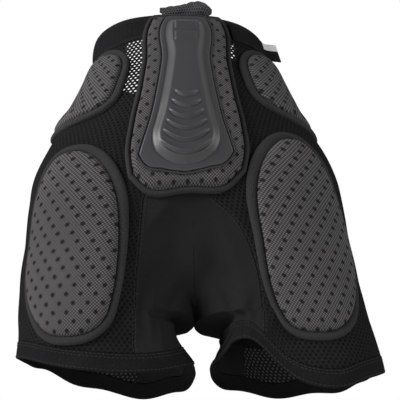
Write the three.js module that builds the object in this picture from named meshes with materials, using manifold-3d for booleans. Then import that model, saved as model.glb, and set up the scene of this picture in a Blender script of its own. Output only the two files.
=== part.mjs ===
// Padded protective shorts in the form they have when worn: a mesh shell with foam pads sewn on.
// Millimetres. The origin is the centre of the waist opening, +Z is up, +Y is the wearer's front
// and +X is the wearer's right.

import * as THREE from 'three';
import { mergeVertices } from 'three/addons/utils/BufferGeometryUtils.js';
import Module from 'manifold-3d';

const wasm = await Module();
wasm.setup();

// Sizes of the garment
const LENGTH = 450; // waist edge to the mean leg hem
const HALF_HIP = 200; // half the width across the hips
const BACK_DEPTH = 126; // waist centre to the fullest point of the seat
const FRONT_DEPTH = 106; // waist centre to the fullest point of the belly
const LEG_SPREAD = 112; // middle of the garment to the middle of a leg hem
const SWAY = 13; // how far the hanging garment leans sideways
const FULLNESS = 0.1; // how square a leg's oval section is
const WAIST_DIP = 10; // rise of the waist edge behind, and its dip in front
const HEM_WAVE = 40; // height of the waves in the leg hems
const CROTCH_AT = 0.844; // share of the length at which the legs part
const INSEAM_GAP = 30; // half the widest gap between the legs
const INSEAM_REACH = 100; // degrees from the inside of a leg over which the gap fades out
const CLOTH_WALL = 2;
const BAND_WALL = 3;
const WAISTBAND_HEIGHT = 40;
const HEM_BAND_HEIGHT = 20;
const FOLD_DEPTH = 9;
const CLEARANCE = 0.3; // gap between pieces that are sewn or glued together
const TRIM_DEPTH = 8; // how deep the skin reaches that trims the pads to the cloth

// Sizes of the smooth stretch panel in the seat
const GUSSET_TOP = 215; // below the waist edge
const GUSSET_HALF_WIDTH = 68;

// Sizes of the foam pads
const PAD_THICKNESS = 12;
const BINDING_WIDTH = 9.5;
const BINDING_THICKNESS = 5;
const BINDING_THICKNESS_AT_EDGE = 2.5;
const BINDING_THICKNESS_AT_PAD = 4;
const BINDING_CREST = 0.35; // share of its width at which the binding is thickest
const BLANK_DEPTH = 3; // how far a blank reaches into what it lies on before it is trimmed to it
const TAILBONE_LENGTH = 264;
const TAILBONE_SKEW = 6; // how much lower the foot's left end hangs than its middle
const TAILBONE_HALF_WIDTH = 71;
const TAILBONE_MARGIN = 3.5; // waist edge to the top of the pad
const TAILBONE_OFFSET = -7; // sideways from the middle of the waist
const TAILBONE_BINDING_WIDTH = 7;

// Sizes of the moulded plate on the tailbone pad
const PLATE_LENGTH = 232;
const PLATE_HALF_WIDTH = 54;
const PLATE_DROP = 13; // below the top of the tailbone pad
const PLATE_OFFSET = -2; // sideways from the middle of the tailbone pad
const FLANGE_WIDTH = 7;
const FLANGE_THICKNESS = 2.5;
const DOME_HEIGHT = 6;
const DOME_SHOULDER = 5; // height at which the dome's side turns into its top
const DOME_SLOPE = 3.6; // how far the dome's side leans in
const RIB_COUNT = 6;
const RIB_RADIUS = 2.4;
const RIB_PITCH = 13;
const RIB_THINNING = 0.75; // share of the radius that is lost at the ends
const RIB_SAG = 0.5; // how much lower the middle is than the ends, as a share of the half span
const FIRST_RIB_DROP = 131; // below the top of the plate
const FIRST_RIB_HALF_SPAN = 14;
const LAST_RIB_HALF_SPAN = 30;
const STEP_COUNT = 2;
const STEP_HALF_WIDTH = 13;
const STEP_HEIGHT = 14;
const STEP_PITCH = 21;
const FIRST_STEP_DROP = 21; // top of the plate to the middle of the first step
const STEP_RELIEF = 1.4;
const PIPING_RADIUS = 1.1;
const PIPING_MARGIN = 1; // between the plate and the piping

// Sizes of the strap at the side of the waist
const STRAP_HEIGHT = 29;
const STRAP_THICKNESS = 2.5;
const STRAP_DROP = 9; // below the waist edge
const STRAP_FREE_END = 25;
const STRAP_BLANK_DEPTH = 1; // how far its blank reaches into the waistband before it is trimmed
const STRAP_BEARING = -33; // where it leaves the waistband
const STRAP_ROOT = 30; // degrees of the waistband that it is sewn to
const STRAP_END_TURN = 46; // degrees that the free end turns away from the waist
const TAB_HEIGHT = 11;
const TAB_THICKNESS = 0.8;
const TAB_MARGIN = 1.5;

// Sizes of the cloth roll over the top of the tailbone pad
const ROLL_HALF_WIDTH = 34;
const ROLL_HEIGHT = 16;
const ROLL_DEPTH = 14;
const ROLL_OFFSET = -8; // sideways from the middle of the waist

// Sizes of the open net beside the tailbone pad
const NET_HOLE = 4; // across one hole
const NET_PITCH = 6.6; // between holes in a row
const NET_ROW = 5.4; // between rows, which are staggered
const NET_COLUMNS = 3;
const NET_ROWS = 8;
const NET_FLARE = 0.2; // how much further out each row lies than the one above
const NET_INNER = 60; // middle of the tailbone pad to the nearest holes
const NET_DROP = 50; // waist edge to the highest holes

// How finely the surfaces are faceted
const COLUMNS = 18;
const TRUNK_ROWS = 11;
const LEG_ROWS = [0, 0.07, 0.45, 1]; // shares of the way from the crotch to the hem band
const PAD_SIDES = 24;
const TAILBONE_SIDES = 26;

const DEGREE = Math.PI / 180;

// A table is a list of rows under named columns
function table(columns, rows) {
  return Object.fromEntries(columns.map((name, i) => [name, rows.map((row) => row[i])]));
}

// Sections of the garment from the waist down. Down is a share of LENGTH, halfWidth and overlap of
// HALF_HIP, legCentre of LEG_SPREAD, back of BACK_DEPTH, front of FRONT_DEPTH and sway of SWAY.
// Overlap is how far each leg's oval passes the middle of the garment, down to the crotch.
const SECTIONS = table(
  ['down', 'halfWidth', 'legCentre', 'overlap', 'back', 'front', 'sway'],
  [
    [0.0, 0.61, 0.0, 0.61, 0.73, 0.83, -1.0],
    [0.111, 0.63, 0.0, 0.63, 0.825, 0.885, -0.5],
    [0.222, 0.705, 0.0, 0.705, 0.92, 0.945, -0.35],
    [0.289, 0.78, 0.03, 0.752, 0.96, 0.975, -0.35],
    [0.333, 0.865, 0.07, 0.802, 0.985, 0.99, -0.25],
    [0.389, 0.93, 0.15, 0.777, 0.995, 1.0, -0.15],
    [0.444, 0.975, 0.25, 0.695, 1.0, 1.0, -0.15],
    [0.556, 1.0, 0.49, 0.45, 0.95, 0.98, -0.1],
    [0.667, 1.015, 0.715, 0.215, 0.87, 0.945, 0.1],
    [0.778, 1.035, 0.875, 0.06, 0.81, 0.905, 0.3],
    [CROTCH_AT, 1.045, 0.935, 0.0, 0.79, 0.895, 0.6],
    [0.872, 1.048, 0.95, 0.0, 0.785, 0.89, 0.8],
    [0.922, 1.052, 0.975, 0.0, 0.775, 0.885, 1.05],
    [1.0, 1.06, 1.0, 0.0, 0.76, 0.885, 1.4],
  ],
);

// Half the gap between the legs below the crotch, as a share of INSEAM_GAP
const INSEAM = table(
  ['down', 'gap'],
  [
    [CROTCH_AT, 0.0],
    [0.85, 0.8],
    [0.872, 1.0],
    [0.922, 0.7],
    [0.97, 0.2],
    [1.0, 0.2],
  ],
);

// Height of each leg's hem above its mean, as a share of HEM_WAVE. Bearings are in degrees round
// the leg: 0 is outward, -90 behind, 90 in front and 180 inward.
const HEMS = table(
  ['bearing', 'left', 'right'],
  [
    [-180, 0.42, 0.6],
    [-160, 0.45, 0.6],
    [-140, 0.25, 0.95],
    [-120, 0.05, 0.85],
    [-100, -0.03, -0.15],
    [-80, 0.03, -0.4],
    [-60, 0.18, -0.12],
    [-40, 0.4, 0.1],
    [0, 0.65, 0.32],
    [40, 0.58, 0.15],
    [80, 0.14, -0.02],
    [100, -0.05, -0.02],
    [140, -0.03, 0.2],
    [160, 0.15, 0.45],
    [180, 0.42, 0.6],
  ],
);

// Main folds of the cloth. Top and foot are shares of LENGTH, width is in degrees round the leg and
// depth is a share of FOLD_DEPTH, below 0 for a hollow. A fold that reaches the hem stays open there.
const FOLDS = table(
  ['side', 'bearing', 'top', 'foot', 'width', 'depth'],
  [
    [-1, -118, 0.6, 0.93, 16, -1.0],
    [-1, -146, 0.68, 1.0, 14, 0.6],
    [-1, -20, 0.86, 1.0, 22, 0.5],
    [-1, 96, 0.8, 1.0, 20, 0.7],
    [1, -122, 0.62, 0.88, 16, -0.9],
    [1, -78, 0.88, 1.0, 18, 0.7],
    [1, 8, 0.8, 1.0, 20, -0.4],
    [1, 90, 0.8, 1.0, 22, 0.6],
    [-1, 70, 0.3, 0.6, 20, -0.6],
    [1, 70, 0.3, 0.6, 20, -0.6],
  ],
);

// Oval pads on the hips and thighs. Down is a share of LENGTH, taper narrows the top, lean carries
// the foot outward as a share of the width, and slant leans the whole oval.
const OVAL_PADS = {
  left_hip: {
    side: -1,
    bearing: -25,
    down: 0.223,
    width: 150,
    height: 118,
    power: 2.8,
    taper: 0,
    lean: -0.14,
    slant: 0,
  },
  right_hip: {
    side: 1,
    bearing: -28,
    down: 0.212,
    width: 150,
    height: 112,
    power: 2.8,
    taper: 0,
    lean: -0.04,
    slant: 0,
  },
  left_thigh: {
    side: -1,
    bearing: -64.7,
    down: 0.686,
    width: 125,
    height: 229,
    power: 2.4,
    taper: -0.195,
    lean: 0.1,
    slant: 0.227,
  },
  right_thigh: {
    side: 1,
    bearing: -66.4,
    down: 0.656,
    width: 128,
    height: 243,
    power: 2.3,
    taper: -0.26,
    lean: -0.146,
    slant: 0.168,
  },
};

// Crowns of the pads: share of the way out from the middle, and height as a share of PAD_THICKNESS
const OVAL_CROWN = table(
  ['out', 'height'],
  [
    [1.0, 0.25],
    [0.97, 0.62],
    [0.88, 0.86],
    [0.55, 0.97],
    [0.2, 1.0],
  ],
);
const TAILBONE_CROWN = table(
  ['out', 'height'],
  [
    [1.0, 0.3],
    [0.975, 0.8],
    [0.94, 1.0],
    [0.5, 1.0],
  ],
);

// Right halves of the tailbone pad's and plate's edges, as shares of half width and length
const TAILBONE_EDGE = table(
  ['across', 'along'],
  [
    [0.0, 0.0],
    [0.6, 0.0],
    [0.72, 0.045],
    [0.79, 0.33],
    [0.87, 0.52],
    [0.96, 0.68],
    [1.0, 0.82],
    [0.94, 0.92],
    [0.7, 0.985],
    [0.0, 1.0],
  ],
);
const PLATE_EDGE = table(
  ['across', 'along'],
  [
    [0.0, 0.0],
    [0.43, 0.0],
    [0.48, 0.02],
    [0.54, 0.34],
    [0.62, 0.51],
    [0.75, 0.7],
    [0.94, 0.87],
    [0.98, 0.905],
    [0.9, 0.935],
    [0.45, 0.98],
    [0.0, 1.0],
  ],
);

// Depth of the tailbone pad's bed at its side edges, as a share of BACK_DEPTH, going down
const BED = table(
  ['down', 'bow'],
  [
    [-0.05, 0.082],
    [0.11, 0.082],
    [0.222, 0.074],
    [0.333, 0.044],
    [0.444, 0.021],
    [0.6, 0.012],
  ],
);

// Ridge of the cloth roll: share of its half width, and of its height
const ROLL = table(
  ['across', 'height'],
  [
    [-1.0, 0.2],
    [-0.6, 0.42],
    [-0.2, 0.62],
    [0.2, 0.85],
    [0.5, 1.0],
    [0.75, 0.85],
    [1.0, 0.2],
  ],
);

// Edges of the seat panel: share of the way down to the crotch, and shares of GUSSET_HALF_WIDTH
const GUSSET_EDGE = table(
  ['along', 'left', 'right'],
  [
    [0.0, 0.0, 0.0],
    [0.1, 0.55, 0.08],
    [0.26, 0.8, 0.26],
    [0.41, 0.88, 0.62],
    [0.56, 0.93, 0.82],
    [0.75, 0.98, 0.95],
    [1.0, 1.0, 1.0],
  ],
);

// Reads a column at a place between rows, on cubics whose slopes come from the neighbouring rows
function read(rows, place, column, at) {
  const xs = rows[place];
  const ys = rows[column];
  const last = xs.length - 1;
  const x = Math.min(Math.max(at, xs[0]), xs[last]);
  let i = 0;
  while (i < last - 1 && x > xs[i + 1]) i += 1;
  const slope = (k) => {
    const before = k > 0 ? (ys[k] - ys[k - 1]) / (xs[k] - xs[k - 1]) : null;
    const after = k < last ? (ys[k + 1] - ys[k]) / (xs[k + 1] - xs[k]) : null;
    if (before === null) return after;
    if (after === null) return before;
    const nearer = (xs[k + 1] - xs[k]) / (xs[k + 1] - xs[k - 1]);
    return before * nearer + after * (1 - nearer);
  };
  const step = xs[i + 1] - xs[i];
  const t = (x - xs[i]) / step;
  const rise = ys[i] * (1 + 2 * t) * (1 - t) ** 2 + ys[i + 1] * t * t * (3 - 2 * t);
  return rise + step * (slope(i) * t * (1 - t) ** 2 + slope(i + 1) * t * t * (t - 1));
}

const smooth = (t) => {
  const s = Math.min(Math.max(t, 0), 1);
  return s * s * (3 - 2 * s);
};

// Sizes of the section at a depth below the waist edge
function section(depth) {
  const down = depth / LENGTH;
  const centre = LEG_SPREAD * read(SECTIONS, 'down', 'legCentre', down);
  const overlap = HALF_HIP * read(SECTIONS, 'down', 'overlap', down);
  return {
    centre,
    outer: HALF_HIP * read(SECTIONS, 'down', 'halfWidth', down) - centre,
    inner: centre + overlap,
    gap: INSEAM_GAP * read(INSEAM, 'down', 'gap', down),
    back: BACK_DEPTH * read(SECTIONS, 'down', 'back', down),
    front: FRONT_DEPTH * read(SECTIONS, 'down', 'front', down),
    sway: SWAY * read(SECTIONS, 'down', 'sway', down),
  };
}

// How far the folds push the cloth out at a place
function folds(side, bearing, depth) {
  const down = depth / LENGTH;
  return FOLDS.side.reduce((sum, owner, i) => {
    if (owner !== side) return sum;
    const across = (bearing - FOLDS.bearing[i]) / FOLDS.width[i];
    const along = (down - FOLDS.top[i]) / (FOLDS.foot[i] - FOLDS.top[i]);
    const reach = smooth(FOLDS.foot[i] < 1 ? 1 - Math.abs(2 * along - 1) : along);
    return sum + FOLD_DEPTH * FOLDS.depth[i] * reach * Math.exp(-across * across);
  }, 0);
}

// Point of the cloth's outer face. Side is -1 for the left leg and 1 for the right one.
function clothPoint(side, bearing, depth, folded = true) {
  const s = section(depth);
  const cos = Math.cos(bearing * DEGREE);
  const sin = Math.sin(bearing * DEGREE);
  const push = folded ? folds(side, bearing, depth) : 0;
  const inward = THREE.MathUtils.smoothstep(Math.abs(bearing), 180 - INSEAM_REACH, 180);
  const reach = cos > 0 ? s.outer : s.inner - s.gap * inward;
  const across = reach * cos * (1 + FULLNESS * sin * sin) + push * cos;
  const along = (sin < 0 ? s.back : s.front) * sin * (1 + FULLNESS * cos * cos) + push * sin;
  const dip = (WAIST_DIP * Math.max(0, 1 - (3 * depth) / LENGTH) * along) / section(0).back;
  return new THREE.Vector3(side * (s.centre + across) + s.sway, along, -depth - dip);
}

// Bearing at which a leg's oval meets the middle of the garment, above the crotch
function seamBearing(depth) {
  const s = section(depth);
  const share = Math.min(s.centre / s.inner, 1);
  let cos = -share;
  for (let i = 0; i < 30; i += 1) cos = -share / (1 + FULLNESS * (1 - cos * cos));
  return Math.acos(cos) / DEGREE;
}

// Point at a height above the unfolded cloth, along its normal
function onCloth(side, bearing, depth, height) {
  const point = clothPoint(side, bearing, depth, false);
  const round = clothPoint(side, bearing + 1, depth, false).sub(clothPoint(side, bearing - 1, depth, false));
  const down = clothPoint(side, bearing, depth + 1, false).sub(clothPoint(side, bearing, depth - 1, false));
  const normal = new THREE.Vector3().crossVectors(down, round).multiplyScalar(side).normalize();
  return point.addScaledVector(normal, height);
}

// Solid of a closed geometry
function solidOf(geometry) {
  geometry.deleteAttribute('normal');
  geometry.deleteAttribute('uv');
  const welded = mergeVertices(geometry, 1e-4);
  return new wasm.Manifold(
    new wasm.Mesh({
      numProp: 3,
      vertProperties: new Float32Array(welded.attributes.position.array),
      triVerts: new Uint32Array(welded.index.array),
    }),
  );
}

// Closed body of points and triangles, turned so that its faces point out
function body(points, faces) {
  const volume = faces.reduce((sum, [a, b, c]) => {
    const cross = new THREE.Vector3().crossVectors(points[b], points[c]);
    return sum + points[a].dot(cross);
  }, 0);
  const geometry = new THREE.BufferGeometry().setFromPoints(points);
  geometry.setIndex(faces.flatMap(([a, b, c]) => (volume > 0 ? [a, b, c] : [a, c, b])));
  return solidOf(geometry);
}

// Body through a row of rings that ends in fans, or that closes on itself
function loft(rings, closed = false) {
  const size = rings[0].length;
  const points = rings.flat();
  const faces = [];
  const spans = closed ? rings.length : rings.length - 1;
  for (let i = 0; i < spans; i += 1) {
    const next = (i + 1) % rings.length;
    for (let k = 0; k < size; k += 1) {
      const beside = (k + 1) % size;
      const corners = [i * size + k, i * size + beside, next * size + beside, next * size + k];
      faces.push([corners[0], corners[1], corners[2]], [corners[0], corners[2], corners[3]]);
    }
  }
  if (!closed) {
    [rings[0], rings[rings.length - 1]].forEach((ring, end) => {
      const middle = points.length;
      const start = end * (rings.length - 1) * size;
      points.push(ring.reduce((sum, p) => sum.add(p), new THREE.Vector3()).divideScalar(size));
      for (let k = 0; k < size; k += 1) {
        const pair = [start + k, start + ((k + 1) % size)];
        faces.push(end ? [pair[0], pair[1], middle] : [pair[1], pair[0], middle]);
      }
    });
  }
  return body(points, faces);
}

// Rows of the whole garment, each with the depth of its points and the part that it belongs to
function garmentRows() {
  const crotch = CROTCH_AT * LENGTH;
  const hem = (side, bearing) => LENGTH - HEM_WAVE * read(HEMS, 'bearing', side < 0 ? 'left' : 'right', bearing);
  const rows = [0, 0.5, 1].map((share) => ({ part: 'waistband', depth: () => share * WAISTBAND_HEIGHT }));
  const top = WAISTBAND_HEIGHT + CLEARANCE;
  for (let i = 0; i < TRUNK_ROWS; i += 1) {
    rows.push({ part: 'shell', depth: () => top + ((crotch - top) * i) / TRUNK_ROWS });
  }
  const bandTop = (side, bearing) => hem(side, bearing) - HEM_BAND_HEIGHT - CLEARANCE;
  LEG_ROWS.forEach((share) => {
    const depth = (side, bearing) => crotch + (bandTop(side, bearing) - crotch) * share;
    rows.push({ part: 'shell', leg: true, depth });
  });
  [1, 0.5, 0].forEach((share) => {
    rows.push({ part: 'hem', leg: true, depth: (side, bearing) => hem(side, bearing) - share * HEM_BAND_HEIGHT });
  });
  return rows;
}

// Outer face of the whole garment: welded points with their normals, and faces by row and side.
// The rows on the two sides of a seam share their normals, so that the gap between them stays even.
function garmentFace() {
  const rows = garmentRows();
  const places = new Map();
  const points = [];
  const place = (point) => {
    const key = point.toArray().map((value) => Math.round(value * 1000) + 0).join();
    if (!places.has(key)) {
      places.set(key, points.length);
      points.push(point);
    }
    return places.get(key);
  };
  const faces = [];
  const twins = [];
  [-1, 1].forEach((side) => {
    const grid = rows.map((row) => {
      const half = row.leg ? 180 : seamBearing(row.depth(side, 0));
      return Array.from({ length: COLUMNS + 1 }, (_, k) => {
        const bearing = half * ((2 * k) / COLUMNS - 1);
        const point = clothPoint(side, bearing, row.depth(side, bearing));
        if (!row.leg && k % COLUMNS === 0) point.x = section(row.depth(side, 0)).sway;
        return place(point);
      });
    });
    for (let i = 0; i + 1 < rows.length; i += 1) {
      if (rows[i].part !== rows[i + 1].part) grid[i].forEach((above, k) => twins.push([above, grid[i + 1][k]]));
      for (let k = 0; k < COLUMNS; k += 1) {
        const corners = [grid[i][k], grid[i + 1][k], grid[i + 1][k + 1], grid[i][k + 1]];
        const turned = side > 0 ? corners : corners.slice().reverse();
        const parts = [rows[i].part, rows[i + 1].part];
        faces.push({ side, parts, corners: [turned[0], turned[1], turned[2]] });
        faces.push({ side, parts, corners: [turned[0], turned[2], turned[3]] });
      }
    }
  });
  const normals = points.map(() => new THREE.Vector3());
  faces.forEach(({ corners: [a, b, c] }) => {
    const edge = points[b].clone().sub(points[a]);
    const normal = points[c].clone().sub(points[a]).cross(edge).negate();
    [a, b, c].forEach((k) => normals[k].add(normal));
  });
  normals.forEach((normal) => normal.normalize());
  twins.forEach(([above, below]) => {
    const shared = normals[above].clone().add(normals[below]).normalize();
    normals[above].copy(shared);
    normals[below].copy(shared);
  });
  return { points, normals, faces };
}

// Wall between two offsets from the outer face, over the faces that are wanted. Its rims are split
// by the order of their points, so that the two rims of a seam are split alike.
function wall(face, wanted, outer, inner) {
  const faces = face.faces.filter(wanted).map(({ corners }) => corners);
  const count = face.points.length;
  const points = [outer, inner].flatMap((offset) =>
    face.points.map((point, i) => point.clone().addScaledVector(face.normals[i], offset)),
  );
  const solid = faces.concat(faces.map(([a, b, c]) => [a + count, c + count, b + count]));
  const inside = new Set(faces.flatMap(([a, b, c]) => [`${a} ${b}`, `${b} ${c}`, `${c} ${a}`]));
  inside.forEach((edge) => {
    const [a, b] = edge.split(' ').map(Number);
    if (inside.has(`${b} ${a}`)) return;
    const split = a < b ? [a, b + count] : [a + count, b];
    solid.push([b, a, split[a < b ? 1 : 0]], [split[a < b ? 0 : 1], a + count, b + count]);
  });
  const used = [...new Set(solid.flat())];
  const renumbered = new Map(used.map((old, i) => [old, i]));
  return body(
    used.map((old) => points[old]),
    solid.map((corners) => corners.map((k) => renumbered.get(k))),
  );
}

const face = garmentFace();
const ofPart = (part, side) => (f) => f.parts.every((p) => p === part) && (!side || f.side === side);
const everything = () => true;

// Skin that trims the pads to the cloth that they lie on
const trimmer = wall(face, everything, CLEARANCE, -TRIM_DEPTH);

// Seat panel: what lies inside an outline that is pushed through the garment from behind
function gussetCutter(grow) {
  const crotch = CROTCH_AT * LENGTH;
  const middle = section(crotch).sway;
  const edge = (side, column) => {
    const points = GUSSET_EDGE.along.map((along, i) => {
      const x = middle + side * (GUSSET_EDGE[column][i] * GUSSET_HALF_WIDTH + grow);
      const rise = i === 0 ? grow : 0;
      return new THREE.Vector2(x, rise - GUSSET_TOP - along * (crotch - GUSSET_TOP));
    });
    const foot = new THREE.Vector2(middle + side * (GUSSET_HALF_WIDTH + grow), -LENGTH - HEM_WAVE);
    return [...new THREE.SplineCurve(points).getPoints(10), foot];
  };
  const shape = new THREE.Shape([...edge(-1, 'left'), ...edge(1, 'right').reverse()]);
  const depth = 3 * (BACK_DEPTH + FRONT_DEPTH);
  const geometry = new THREE.ExtrudeGeometry(shape, { depth, bevelEnabled: false });
  geometry.translate(0, 0, -depth / 2);
  geometry.rotateX(Math.PI / 2);
  return solidOf(geometry);
}

// Closed outline of a pad in its own plane: across and up from its middle
function ovalOutline({ width, height, power, taper, lean, slant }) {
  return Array.from({ length: PAD_SIDES }, (_, k) => {
    const turn = (2 * Math.PI * k) / PAD_SIDES;
    const cos = Math.cos(turn);
    const sin = Math.sin(turn);
    const x = Math.sign(cos) * Math.abs(cos) ** (2 / power);
    const y = Math.sign(sin) * Math.abs(sin) ** (2 / power);
    const foot = sin < 0 ? lean * width * y * y : 0;
    const up = (height / 2) * y;
    return [(width / 2) * x * (1 + taper * y) + foot + slant * up, up];
  });
}

// Closed outline through a right half and its mirror image
function mirroredOutline(edge, halfWidth, length, sides) {
  const right = edge.across.map((across, i) => [across * halfWidth, -edge.along[i] * length]);
  const left = right.slice(1, -1).reverse().map(([x, y]) => [-x, y]);
  const points = [...right, ...left].map(([x, y]) => new THREE.Vector3(x, y, 0));
  const spaced = new THREE.CatmullRomCurve3(points, true).getSpacedPoints(sides);
  return spaced.slice(0, sides).map((p) => [p.x, p.y]);
}

// Outline moved inwards by a distance
function inset(outline, distance) {
  const size = outline.length;
  const area = outline.reduce((sum, [x, y], k) => {
    const [nx, ny] = outline[(k + 1) % size];
    return sum + x * ny - nx * y;
  }, 0);
  return outline.map(([x, y], k) => {
    const [ax, ay] = outline[(k + size - 1) % size];
    const [bx, by] = outline[(k + 1) % size];
    const length = Math.hypot(bx - ax, by - ay);
    const turn = (Math.sign(area) * distance) / length;
    return [x - (by - ay) * turn, y + (bx - ax) * turn];
  });
}

// Outline drawn in towards its middle by a share
function drawnIn(outline, share) {
  const middle = outline.reduce(([sx, sy], [x, y]) => [sx + x, sy + y], [0, 0]).map((sum) => sum / outline.length);
  return outline.map(([x, y]) => [middle[0] + (x - middle[0]) * share, middle[1] + (y - middle[1]) * share]);
}

// Foam body of a pad
function foam(edge, crown, lay) {
  const ring = (share, height) => drawnIn(edge, share).map(([x, y]) => lay(x, y, height));
  const base = [0.5, 1].map((share) => ring(share, -BLANK_DEPTH));
  const top = crown.out.map((out, i) => ring(out, crown.height[i] * PAD_THICKNESS));
  return loft([...base, ...top]);
}

// Binding that lies round a pad's edge
function bindingRing(outline, width, lay) {
  const profile = [
    [width, -BLANK_DEPTH],
    [width, BINDING_THICKNESS_AT_PAD],
    [BINDING_CREST * width, BINDING_THICKNESS],
    [0, BINDING_THICKNESS_AT_EDGE],
    [0, -BLANK_DEPTH],
  ];
  const rings = profile.map(([way, height]) => inset(outline, way).map(([x, y]) => lay(x, y, height)));
  return loft(rings, true);
}

// Lays a pad's plane on a leg's cloth: x goes round the leg and y up
function layOval({ side, bearing, down }) {
  const depth = down * LENGTH;
  const before = clothPoint(side, bearing - 1, depth, false);
  const perDegree = clothPoint(side, bearing + 1, depth, false).distanceTo(before) / 2;
  return (x, y, height) => onCloth(side, bearing + x / perDegree, depth - y, height);
}

// Lays the tailbone pad's plane behind the waist: x goes to the right and y up from the pad's top
function layBack(x, y, height) {
  const share = x / TAILBONE_HALF_WIDTH;
  const skew = TAILBONE_SKEW * share * (y / TAILBONE_LENGTH) ** 2;
  const z = WAIST_DIP - TAILBONE_MARGIN + y + skew;
  const dipped = (WAIST_DIP - z) / (1 + (3 * WAIST_DIP) / LENGTH);
  const depth = Math.max(0, z > -LENGTH / 3 ? dipped : -z);
  const bow = BACK_DEPTH * read(BED, 'down', 'bow', depth / LENGTH);
  const back = section(depth).back + CLEARANCE + height;
  return new THREE.Vector3(TAILBONE_OFFSET + x, bow * share * share - back, z);
}

// Moulded plate: a flange with a dome on it, steps at its top and crescent ribs across its foot
function plateBody(edge) {
  const ring = (shape, height) => shape.map(([x, y]) => layBack(x + PLATE_OFFSET, y - PLATE_DROP, PAD_THICKNESS + height));
  const seat = 2 * CLEARANCE;
  const flange = seat + FLANGE_THICKNESS;
  const dome = inset(edge, FLANGE_WIDTH);
  const brow = inset(edge, FLANGE_WIDTH + DOME_SLOPE);
  const rings = [
    ring(edge, -BLANK_DEPTH),
    ring(edge, seat),
    ring(inset(edge, FLANGE_THICKNESS / 3), flange),
    ring(dome, flange),
    ring(brow, flange + DOME_SHOULDER),
    ring(drawnIn(brow, 0.6), flange + DOME_HEIGHT),
  ];
  let plate = loft(rings);
  const top = flange + DOME_HEIGHT;
  for (let i = 0; i < STEP_COUNT; i += 1) {
    plate = plate.add(stepBody(-FIRST_STEP_DROP - i * STEP_PITCH, top, ring));
  }
  for (let i = 0; i < RIB_COUNT; i += 1) {
    const share = i / (RIB_COUNT - 1);
    const span = FIRST_RIB_HALF_SPAN + share * (LAST_RIB_HALF_SPAN - FIRST_RIB_HALF_SPAN);
    plate = plate.add(ribBody(-FIRST_RIB_DROP - i * RIB_PITCH, span, top, ring));
  }
  return plate;
}

// Low raised block across the plate
function stepBody(middle, top, ring) {
  const block = (grow, height) => {
    const x = STEP_HALF_WIDTH + grow;
    const y = STEP_HEIGHT / 2 + grow;
    const corners = [
      [-x, middle - y],
      [x, middle - y],
      [x, middle + y],
      [-x, middle + y],
    ];
    return ring(corners, height);
  };
  return loft([block(STEP_RELIEF, top - BLANK_DEPTH), block(STEP_RELIEF, top), block(0, top + STEP_RELIEF)]);
}

// Crescent rib, rooted in the dome, that hangs lower in its middle and thins out to its ends
function ribBody(middle, halfSpan, top, ring) {
  const stations = 6;
  const sides = 4;
  const rings = Array.from({ length: stations }, (_, i) => {
    const across = (2 * i) / (stations - 1) - 1;
    const radius = RIB_RADIUS * (1 - RIB_THINNING * across * across);
    const sag = RIB_SAG * halfSpan * (1 - across * across);
    return Array.from({ length: sides }, (__, k) => {
      const turn = (2 * Math.PI * (k + 0.25)) / sides;
      const place = [[across * halfSpan, middle - sag + radius * Math.cos(turn)]];
      const height = Math.sin(turn) > 0 ? radius * Math.sin(turn) : -BLANK_DEPTH;
      return ring(place, top + height)[0];
    });
  });
  return loft(rings);
}

// Piping round the plate
function pipingRing(edge) {
  const sides = 4;
  const way = PIPING_MARGIN + PIPING_RADIUS;
  const rings = Array.from({ length: sides }, (_, k) => {
    const turn = (2 * Math.PI * k) / sides;
    const shape = inset(edge, -way - PIPING_RADIUS * Math.cos(turn));
    const height = PAD_THICKNESS + 2 * CLEARANCE + PIPING_RADIUS * (1 + Math.sin(turn));
    return shape.map(([x, y]) => layBack(x + PLATE_OFFSET, y - PLATE_DROP, height));
  });
  return loft(rings, true);
}

// Roll of cloth that lies on the waist edge, over the top of the tailbone pad
function rollBody() {
  const sides = 10;
  const foot = WAIST_DIP + CLEARANCE;
  const middle = -section(0).back;
  const rings = ROLL.across.map((across, i) => {
    const half = (ROLL.height[i] * ROLL_HEIGHT) / 2;
    const deep = (ROLL_DEPTH / 2) * Math.sqrt(ROLL.height[i]);
    return Array.from({ length: sides }, (_, k) => {
      const turn = (2 * Math.PI * k) / sides;
      const x = ROLL_OFFSET + across * ROLL_HALF_WIDTH;
      return new THREE.Vector3(x, middle + deep * Math.cos(turn), foot + half * (1 + Math.sin(turn)));
    });
  });
  return loft(rings);
}

// Face of the side strap: sewn flat to the waistband, then turning away from it to its free end
function strapFace() {
  const steps = 4;
  const stations = [];
  for (let i = 0; i <= steps; i += 1) {
    const bearing = STRAP_BEARING - STRAP_ROOT * (1 - i / steps);
    stations.push((depth, out) => onCloth(1, bearing, depth, out));
  }
  const ahead = onCloth(1, STRAP_BEARING + 1, STRAP_DROP, 0).sub(onCloth(1, STRAP_BEARING - 1, STRAP_DROP, 0));
  const heading = Math.atan2(ahead.y, ahead.x);
  const travel = new THREE.Vector3();
  for (let i = 1; i <= steps; i += 1) {
    const turn = heading - STRAP_END_TURN * DEGREE * Math.min(1, (2 * i - 1) / steps);
    travel.add(new THREE.Vector3(Math.cos(turn), Math.sin(turn), 0).multiplyScalar(STRAP_FREE_END / steps));
    const away = travel.clone();
    const outward = new THREE.Vector3(Math.sin(turn), -Math.cos(turn), 0);
    stations.push((depth, out) => onCloth(1, STRAP_BEARING, depth, 0).add(away).addScaledVector(outward, out));
  }
  return { stations, free: steps };
}

// Flat strip along a row of stations, between two depths and two heights
function stripBody(stations, top, foot, inner, outer) {
  const middle = (top + foot) / 2;
  return loft(
    stations.map((at) => [
      at(top, inner),
      at(top, outer),
      at(middle, outer),
      at(foot, outer),
      at(foot, inner),
      at(middle, inner),
    ]),
  );
}

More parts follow.
